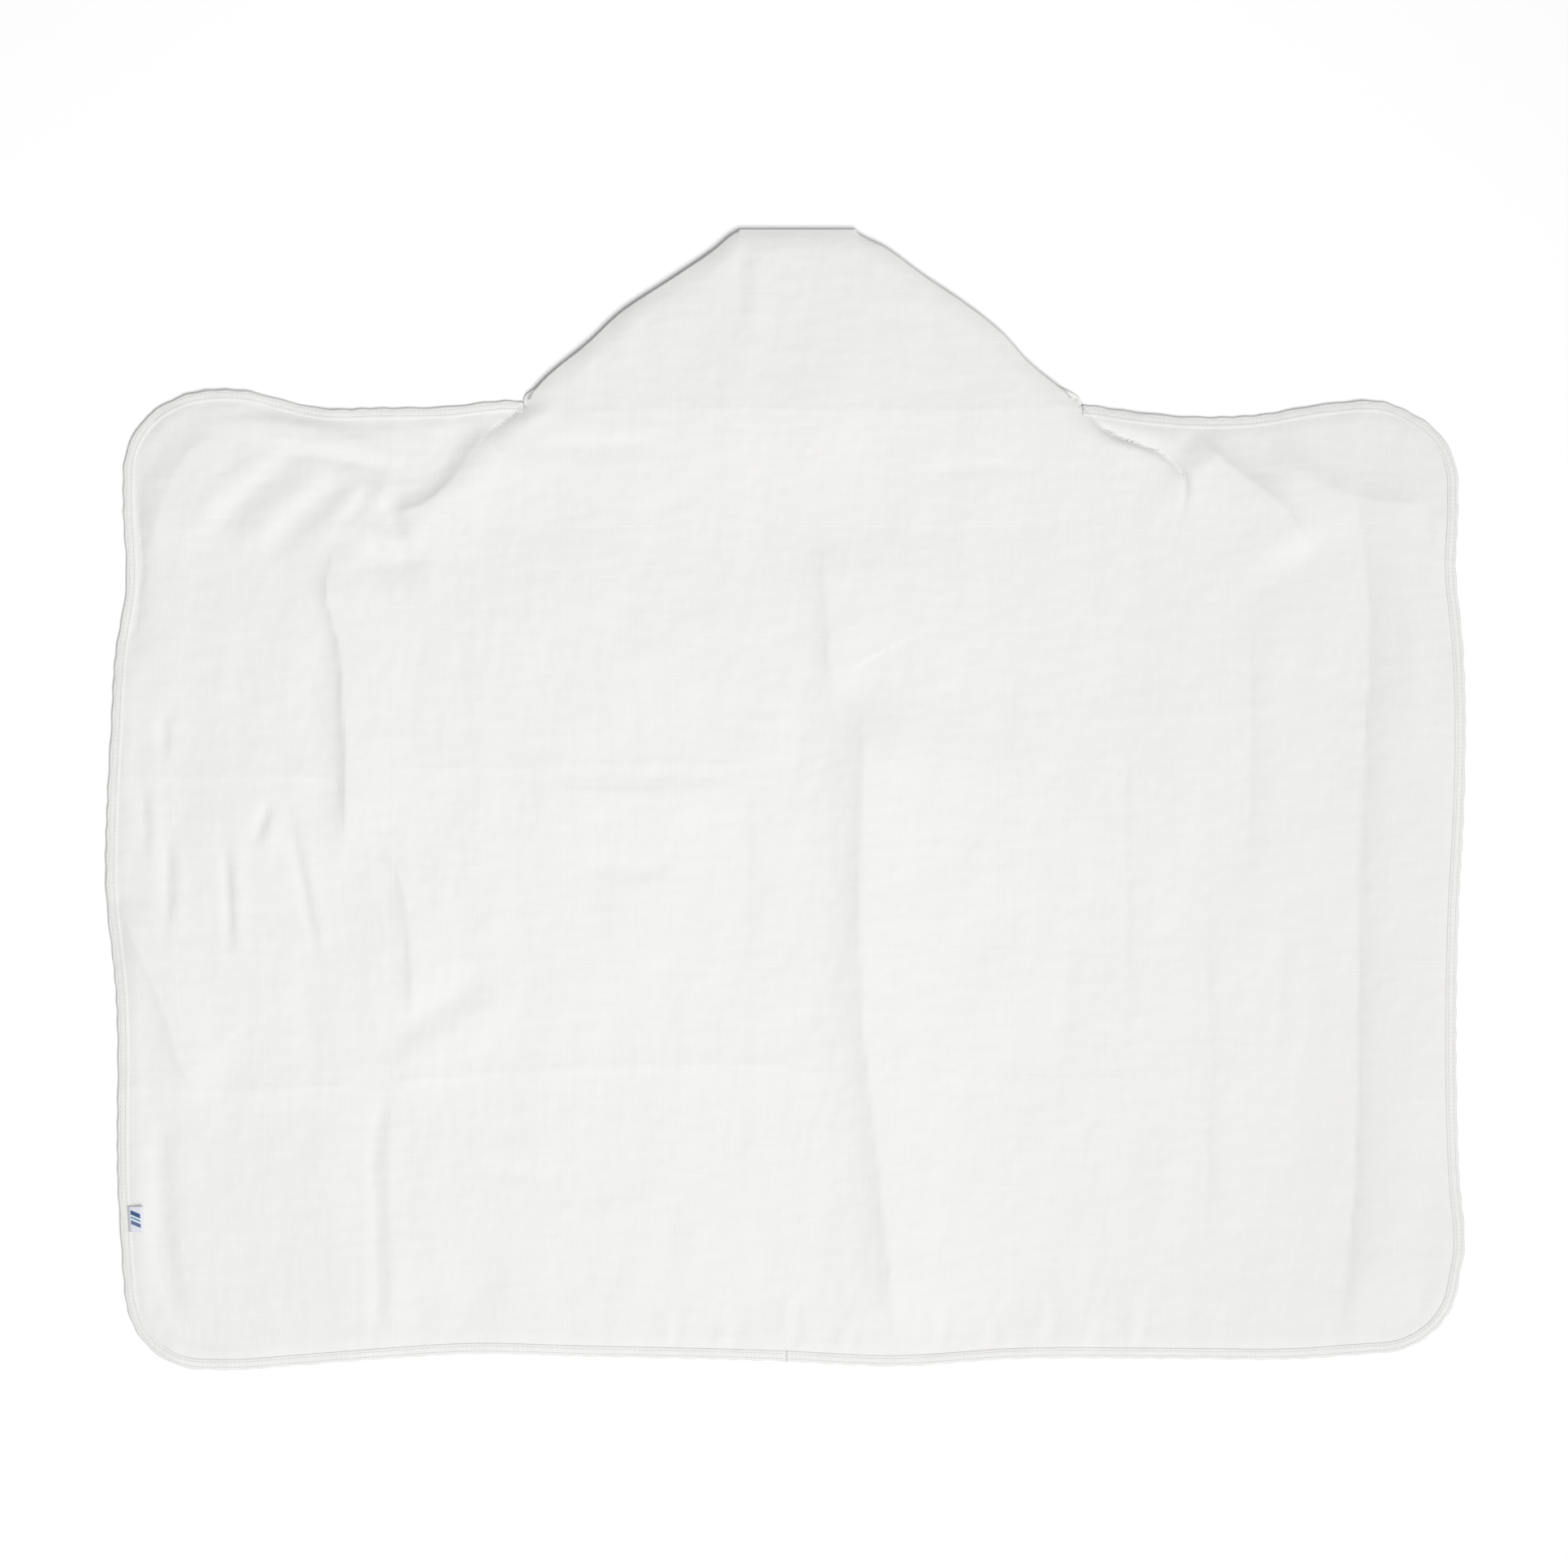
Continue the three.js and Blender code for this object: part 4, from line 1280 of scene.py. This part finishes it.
@dataclass
class Hood:
    """The flat pocket at the neck: the back cloths run on from the body, and the front lies on the floor.

    Attributes:
        lie: How the towel lies.
        cloths: The layers' thicknesses.
        columns_left: The body's columns on the left, which the hood's columns go on from.
        columns_right: The body's columns on the right.
        bend: The width of a strip along the hood's fold line, which is not used.
    """

    lie: Lie
    cloths: Cloths
    columns_left: np.ndarray
    columns_right: np.ndarray
    bend: float = 22 * MM
    front_edge_y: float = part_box("hood_opening_binding")[0].y
    front_top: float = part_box("hood_front_terry")[1].z

    def base_columns(self) -> np.ndarray:
        """Returns the columns' places along the neck, from one end of the hood to the other."""
        y = np.array([self.lie.neck_y])
        left, right = (float(self.lie.seam_x(side, y)[0]) for side in Side)
        tolerance = 0.1 * MM
        leftward = -self.columns_left[self.columns_left <= -left + tolerance][::-1]
        rightward = self.columns_right[self.columns_right <= right + tolerance][1:]
        return np.concatenate([leftward, rightward])

    def across(self, share: np.ndarray, y: np.ndarray, inset: float, crowd: np.ndarray) -> np.ndarray:
        """Returns a place between the two seams.

        Args:
            share: The share of the way from the left seam to the right one.
            y: The height up the towel.
            inset: How far inside the seams the sheet ends.
            crowd: How strongly the columns gather near the seams, from 0 to 1.

        Returns:
            The places' x.
        """
        gathered = share - crowd * np.sin(FULL_TURN * share) / FULL_TURN
        left = self.lie.seam_x(Side.LEFT, y) + inset
        right = self.lie.seam_x(Side.RIGHT, y) - inset
        return left + (right - left) * gathered

    def back_sheet(
        self, name: str, inset: float, upper: Callable, lower: Callable, meets_body: bool
    ) -> bpy.types.Object:
        """Builds one cloth of the hood's back, which runs on from the body at the neck.

        Args:
            name: The piece's name.
            inset: How far inside the seams it ends.
            upper: The height of its upper face at places on the floor.
            lower: The height of its lower face.
            meets_body: True if its first row has the body's columns.

        Returns:
            The cloth.
        """
        lie = self.lie
        start, top = lie.neck_y - self.cloths.edge_inset, lie.hood_top_y - inset
        rows = spaced([start, top - 16 * MM, top], [2.6 * MM, 1.2 * MM])
        climb_length = 18 * MM
        base = self.base_columns()
        shares = (base - base[0]) / (base[-1] - base[0])

        def put(share: np.ndarray, y: np.ndarray, layer: np.ndarray) -> Placed:
            """Places the piece's points."""
            climb = eased_step((y - start) / climb_length)
            gathered = self.across(share, y, inset, 0.86 * climb)
            plain = base[0] + (base[-1] - base[0]) * share
            cut_x = plain * (1.0 - climb) + gathered * climb if meets_body else gathered
            x, placed_y = lie.place(cut_x, y)
            laid_y = placed_y * (1.0 - climb) + y * climb
            z = np.where(layer == 1, upper(x, laid_y), lower(x, laid_y))
            normals = lie.normals(x, laid_y) * np.where(layer == 1, 1.0, -1.0)[:, None]
            return Placed(np.stack([cut_x, y], 1), np.stack([x, laid_y, z], 1), normals)

        return slab(name, shares, rows, put)

    def front_sheet(
        self, name: str, inset: float, start: float, upper: Callable, lower: Callable
    ) -> bpy.types.Object:
        """Builds one cloth of the hood's front, which starts at the bound opening.

        Args:
            name: The piece's name.
            inset: How far inside the seams it ends.
            start: The height up the towel at which it starts.
            upper: The height of its upper face for each share of roundness.
            lower: The height of its lower face.

        Returns:
            The cloth.
        """
        top = self.lie.hood_top_y - inset
        rows = spaced([start, top - 12 * MM, top], [3 * MM, 1.5 * MM])
        shares = np.linspace(0.0, 1.0, 90)
        tuck_depth, tuck_length = 6 * MM, 30 * MM

        def put(share: np.ndarray, y: np.ndarray, layer: np.ndarray) -> Placed:
            """Places the piece's points."""
            tuck = tuck_depth * (1.0 - eased_step((y - start) / tuck_length))
            x = self.across(share, y, inset + tuck, np.full(len(y), 0.8))
            edge = self.lie.roundness(x, y)
            z = np.where(layer == 1, upper(edge), lower(edge))
            return Placed(np.stack([x, y], 1), np.stack([x, y, z], 1))

        return slab(name, shares, rows, put)

    def build_backs(self) -> list[bpy.types.Object]:
        """Builds the back's muslin and terry."""
        lie, cloths = self.lie, self.cloths
        muslin_thick, under = cloths.muslin, cloths.muslin + cloths.gap

        muslin = self.back_sheet(
            "hood_muslin_back", 0.0, lie.height, lambda x, y: lie.height(x, y) - muslin_thick, True
        )
        terry = self.back_sheet(
            "hood_terry_back",
            6 * MM,
            lambda x, y: lie.height(x, y) - under,
            lambda x, y: lie.height(x, y) - under - cloths.terry,
            False,
        )
        return [muslin, terry]

    def build_fronts(self) -> list[bpy.types.Object]:
        """Builds the front's muslin, which lies on the floor, and its terry, which lines the hood."""
        cloths = self.cloths
        start = self.front_edge_y + cloths.edge_inset
        seam_rise = 3.7 * MM
        rest = cloths.binding + cloths.gap
        muslin_top = rest + cloths.muslin
        terry_low, terry_top = muslin_top + cloths.gap, self.front_top - rest

        muslin = self.front_sheet(
            "hood_muslin_front",
            0.0,
            start,
            lambda edge: muslin_top + (seam_rise - rest) * (1.0 - edge),
            lambda edge: rest + (seam_rise - rest) * (1.0 - edge),
        )
        terry = self.front_sheet(
            "hood_terry_front", 5 * MM, start, lambda edge: terry_low + (terry_top - terry_low) * edge,
            lambda edge: np.full(len(edge), terry_low),
        )
        return [muslin, terry]

    def opening_section(self) -> tuple[np.ndarray, np.ndarray]:
        """Returns the insets and heights of the opening's folded tape, all the way round its section."""
        cloths = self.cloths
        upper = np.array([9.0, 7.8, 6.6, 5.4, 4.5, 3.6, 2.2]) * MM
        turns = np.linspace(0.0, math.pi, 9)[1:-1]
        top = self.front_top
        round_inset = 2.0 * MM * (1.0 - np.sin(turns))
        round_height = top / 2 * (1.0 + np.cos(turns))
        lower = np.array([2.2, 5.0, 9.0]) * MM
        insets = np.concatenate([upper, round_inset, lower])
        heights = np.concatenate([np.full(len(upper), top), round_height, np.zeros(len(lower))])
        wall = cloths.binding
        inner_insets = np.maximum(insets[::-1], wall + 0.1 * MM)
        inner_heights = np.clip(heights[::-1], wall, top - wall)
        return np.concatenate([insets, inner_insets]), np.concatenate([heights, inner_heights])

    def build_opening(self) -> list[bpy.types.Object]:
        """Builds the tape that binds the opening and its row of stitches."""
        insets, heights = self.opening_section()
        edge_y = self.front_edge_y
        low_y = np.array([edge_y + self.cloths.binding_width])
        left, right = (float(self.lie.seam_x(side, low_y)[0]) for side in Side)
        xs = spaced([left + 7 * MM, right - 7 * MM], [3 * MM])

        def pucker(x: np.ndarray) -> np.ndarray:
            """Returns how the tape swells between its stitches."""
            return 0.2 * MM * np.sin(FULL_TURN * x / (8 * MM) + 1.4 * np.sin(FULL_TURN * x / (51 * MM)))

        def put(step: np.ndarray, corner: np.ndarray) -> Placed:
            """Places the piece's points."""
            x, inset, z = xs[step], insets[corner], heights[corner]
            upper = (z > 3 * MM).astype(float)
            between = np.clip(np.abs(inset - 4.5 * MM) / (1.5 * MM), 0.0, 1.0)
            lifted = z + upper * (pucker(x) * between - 0.2 * MM)
            run = inset + np.where(upper > 0, 0.0, 20 * MM)
            return Placed(np.stack([x, run], 1), np.stack([x, edge_y + inset, lifted], 1))

        binding = tube("hood_opening_tape", len(xs) - 1, len(insets), put)
        pitch, length = 3.5 * MM, 2.9 * MM
        places = np.arange(left + 10 * MM, right - 10 * MM, pitch)
        ends = []
        for shift in (-length / 2, 0.0, length / 2):
            y = np.full(len(places), edge_y + 4.5 * MM)
            ends.append(np.stack([places + shift, y, np.full(len(places), self.front_top - 0.1 * MM)], 1))
        return [binding, stitch_row("hood_opening_stitches", ends, 0.62 * MM)]

    def build_seam(self, name: str, path: Path) -> bpy.types.Object:
        """Builds one turned-in seam allowance inside the hood.

        Args:
            name: The piece's name.
            path: The seam's line for a share of its length.

        Returns:
            The strip.
        """
        low, high = self.front_top + 0.4 * MM, self.front_top + 2.0 * MM
        shares = np.linspace(0.0, 1.0, 50)
        widths = np.linspace(6.5 * MM, 14 * MM, 5)

        def put(share: np.ndarray, inset: np.ndarray, layer: np.ndarray) -> Placed:
            """Places the piece's points."""
            x, y = path(share)
            ahead_x, ahead_y = path(np.minimum(share + 0.01, 1.0))
            back_x, back_y = path(np.maximum(share - 0.01, 0.0))
            run = np.stack([ahead_x - back_x, ahead_y - back_y], 1)
            run /= np.linalg.norm(run, axis=1)[:, None]
            wave = 0.3 * MM * np.sin(FULL_TURN * share * 9)
            place_x, place_y = x + run[:, 1] * inset, y - run[:, 0] * inset
            z = np.where(layer == 1, high, low) + wave
            return Placed(np.stack([share * 0.2, inset], 1), np.stack([place_x, place_y, z], 1))

        return slab(name, shares, widths, put)

    def build_seams(self) -> list[bpy.types.Object]:
        """Builds the three turned-in seam allowances, so that the inside lies on the right of each path."""
        lie = self.lie
        start, top = self.front_edge_y + 12 * MM, lie.hood_top_y - 16 * MM
        corner_y = np.array([lie.hood_top_y - 4 * MM])
        left_end, right_end = (float(lie.seam_x(side, corner_y)[0]) for side in Side)

        def left(share: np.ndarray) -> tuple[np.ndarray, np.ndarray]:
            """Follows the left seam upwards."""
            y = start + (top - start) * share
            return lie.seam_x(Side.LEFT, y), y

        def right(share: np.ndarray) -> tuple[np.ndarray, np.ndarray]:
            """Follows the right seam downwards."""
            y = top + (start - top) * share
            return lie.seam_x(Side.RIGHT, y), y

        def across(share: np.ndarray) -> tuple[np.ndarray, np.ndarray]:
            """Follows the top seam from left to right."""
            inner = 16 * MM
            x = left_end + inner + (right_end - left_end - 2 * inner) * share
            return x, np.full(len(share), lie.hood_top_y)

        return [
            self.build_seam("hood_seam_turned_left", left),
            self.build_seam("hood_seam_turned_right", right),
            self.build_seam("hood_seam_turned_top", across),
        ]

    def build(self, finishes: Finishes) -> None:
        """Builds and dresses every piece of the hood, and hangs all but the back's muslin and terry."""
        muslin, terry = self.build_backs()
        front_muslin, front_terry = self.build_fronts()
        tape, stitches = self.build_opening()
        seams = self.build_seams()
        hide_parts("hood_back_muslin")
        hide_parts("hood_back_terry")
        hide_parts("hood_front_muslin")
        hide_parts("hood_front_terry")
        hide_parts("hood_opening_binding")
        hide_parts("hood_opening_stitching")
        for seam, place in zip(seams, ("left", "right", "top")):
            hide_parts(f"hood_{place}_seam_allowance")
            dress(seam, finishes.muslin)
        dress(muslin, finishes.muslin)
        dress(front_muslin, finishes.muslin)
        dress(terry, finishes.terry)
        dress(front_terry, finishes.terry)
        dress(tape, finishes.binding)
        dress(stitches, finishes.thread)
        for piece in (muslin, terry):
            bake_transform(piece)
        for piece in (front_muslin, front_terry, tape, stitches, *seams):
            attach(piece, "hood")
        for piece in (muslin, terry, front_muslin, front_terry, tape, stitches, *seams):
            report(piece)
        base = self.base_columns()


# ---------------------------------------------------------------------------------------------------------
# The label


@dataclass
class SideLabel:
    """A short tape folded in two, whose ends are caught under the left binding.

    Attributes:
        lie: How the towel lies.
        cloths: The layers' thicknesses.
        reach: How far the label reaches from under the binding.
        tape: The tape's thickness.
    """

    lie: Lie
    cloths: Cloths
    reach: float = 11.5 * MM
    tape: float = 0.3 * MM

    def build(self, finishes: Finishes) -> None:
        """Builds, dresses and hangs the label."""
        low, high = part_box("side_label")
        ys = np.linspace(low.y, high.y, 15)
        run = np.linspace(0.0, 1.0, 13)
        loop = 1.5 * MM

        def put(step: np.ndarray, corner: np.ndarray) -> Placed:
            """Places the piece's points."""
            y = ys[step]
            index = np.where(corner < 13, corner, 25 - corner)
            share = run[index]
            # From the root along the lower leaf, round the fold at the tip and back along the upper leaf
            half_turn = 0.18
            lower, upper = share < 0.5 - half_turn, share > 0.5 + half_turn
            angle = np.clip((share - 0.5) / half_turn, -1.0, 1.0) * math.pi / 2
            leaf = np.where(lower, share, 1.0 - share) / (0.5 - half_turn)
            out = np.where(lower | upper, leaf, 1.0 + 0.09 * np.cos(angle))
            level = np.where(lower, -1.0, np.where(upper, 1.0, np.sin(angle)))
            thick = np.where(corner < 13, 0.5, -0.5) * self.tape
            edge_x, _ = self.lie.place(np.full(len(y), -self.lie.half_width), y)
            root_x = edge_x + self.cloths.binding_width - 2.0 * MM
            curl = 1.6 * MM * out * out * (0.6 + 0.4 * (y - low.y) / (high.y - low.y))
            x = root_x + self.reach * out + thick * np.cos(angle) * ~(lower | upper)
            seat = self.lie.height(x, y) + 0.9 * MM
            z = seat + curl + level * (loop / 2 * out + 0.25 * MM) + thick * level
            up = (y - low.y) / (high.y - low.y)
            return Placed(np.stack([np.clip(out, 0.0, 1.0), up], 1), np.stack([x, y, z], 1))

        label = tube("side_label_tape", len(ys) - 1, 26, put)
        dress(label, finishes.label)
        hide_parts("side_label")
        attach(label, "label")
        report(label)


# ---------------------------------------------------------------------------------------------------------
# The studio


@dataclass
class Studio:
    """A white floor, a soft key light from the hem's right, a glow overhead and a camera straight above.

    Attributes:
        view_width: The width of floor that the camera sees.
        view_x: The middle of the view.
        view_y: The middle of the view.
        distance: The camera's height.
        floor_tone: How light the floor is.
        surroundings: The strength of the pale surroundings.
        key_strength: The strength of the key light.
        key_angle: How wide the key light is, in degrees.
        glow_power: The power of the glow overhead.
        glow_size: How wide the glow overhead is.
    """

    view_width: float = 1.2751
    view_x: float = -1.65 * MM
    view_y: float = 12.5 * MM
    distance: float = 7.0
    floor_tone: float = 0.95
    surroundings: float = 0.38
    key_strength: float = 2.02
    key_angle: float = 40
    glow_power: float = 4.6
    glow_size: float = 0.7

    def build_floor(self) -> None:
        """Lays the floor just under the towel."""
        bm = bmesh.new()
        under = Matrix.Translation((0.0, 0.0, -0.3 * MM))
        bmesh.ops.create_grid(bm, x_segments=1, y_segments=1, size=30.0, matrix=under)
        mesh = bpy.data.meshes.new("floor")
        bm.to_mesh(mesh)
        bm.free()
        floor = bpy.data.objects.new("floor", mesh)
        bpy.context.scene.collection.objects.link(floor)
        material = bpy.data.materials.new("white_floor")
        material.use_nodes = True
        surface = material.node_tree.nodes["Principled BSDF"]
        surface.inputs["Base Color"].default_value = (*[self.floor_tone] * 3, 1.0)
        surface.inputs["Roughness"].default_value = 1.0
        surface.inputs["Specular IOR Level"].default_value = 0.0
        mesh.materials.append(material)

    def build_lights(self) -> None:
        """Adds the pale surroundings, the soft key and the glow overhead."""
        world = bpy.data.worlds.new("studio")
        world.use_nodes = True
        background = world.node_tree.nodes["Background"]
        background.inputs["Color"].default_value = (1.0, 1.0, 1.0, 1.0)
        background.inputs["Strength"].default_value = self.surroundings
        bpy.context.scene.world = world
        key = bpy.data.lights.new("key", "SUN")
        key.energy = self.key_strength
        key.angle = math.radians(self.key_angle)
        self.hang("key", key, Vector((0.46, -0.55, 1.15)), Vector((0.0, 0.0, 0.0)))
        glow = bpy.data.lights.new("glow", "AREA")
        glow.energy = self.glow_power
        glow.size = self.glow_size
        self.hang("glow", glow, Vector((-0.04, -0.18, 1.3)), Vector((-0.04, -0.18, 0.0)))

    def hang(self, name: str, light: bpy.types.Light, place: Vector, target: Vector) -> None:
        """Places a light so that it shines from a place to a target."""
        lamp = bpy.data.objects.new(name, light)
        lamp.location = place
        lamp.rotation_euler = (place - target).to_track_quat("Z", "Y").to_euler()
        bpy.context.scene.collection.objects.link(lamp)

    def build_camera(self) -> None:
        """Hangs the camera straight above the towel, with the hood at the top of its view."""
        data = bpy.data.cameras.new("camera")
        data.lens = data.sensor_width * self.distance / self.view_width
        data.clip_end = 100.0
        camera = bpy.data.objects.new("camera", data)
        camera.location = (self.view_x, self.view_y, self.distance)
        bpy.context.scene.collection.objects.link(camera)
        bpy.context.scene.camera = camera

    def build(self) -> None:
        """Sets up the floor, the lights, the camera and the plain view of colours."""
        self.build_floor()
        self.build_lights()
        self.build_camera()
        bpy.context.scene.view_settings.view_transform = "Standard"


def main() -> None:
    """Builds the studio and the towel, piece by piece."""
    logging.basicConfig(level=logging.INFO, format="%(message)s")
    Studio().build()
    finishes = Finishes()
    lie, cloths = Lie(), Cloths()
    halves = {side: BodyHalf(side, lie, cloths) for side in Side}
    for half in halves.values():
        half.build(finishes)
    columns = {side: half.columns(half.coarse, half.fine) for side, half in halves.items()}
    Hood(lie, cloths, columns[Side.LEFT], columns[Side.RIGHT]).build(finishes)
    SideLabel(lie, cloths).build(finishes)


if __name__ == "__main__":
    main()
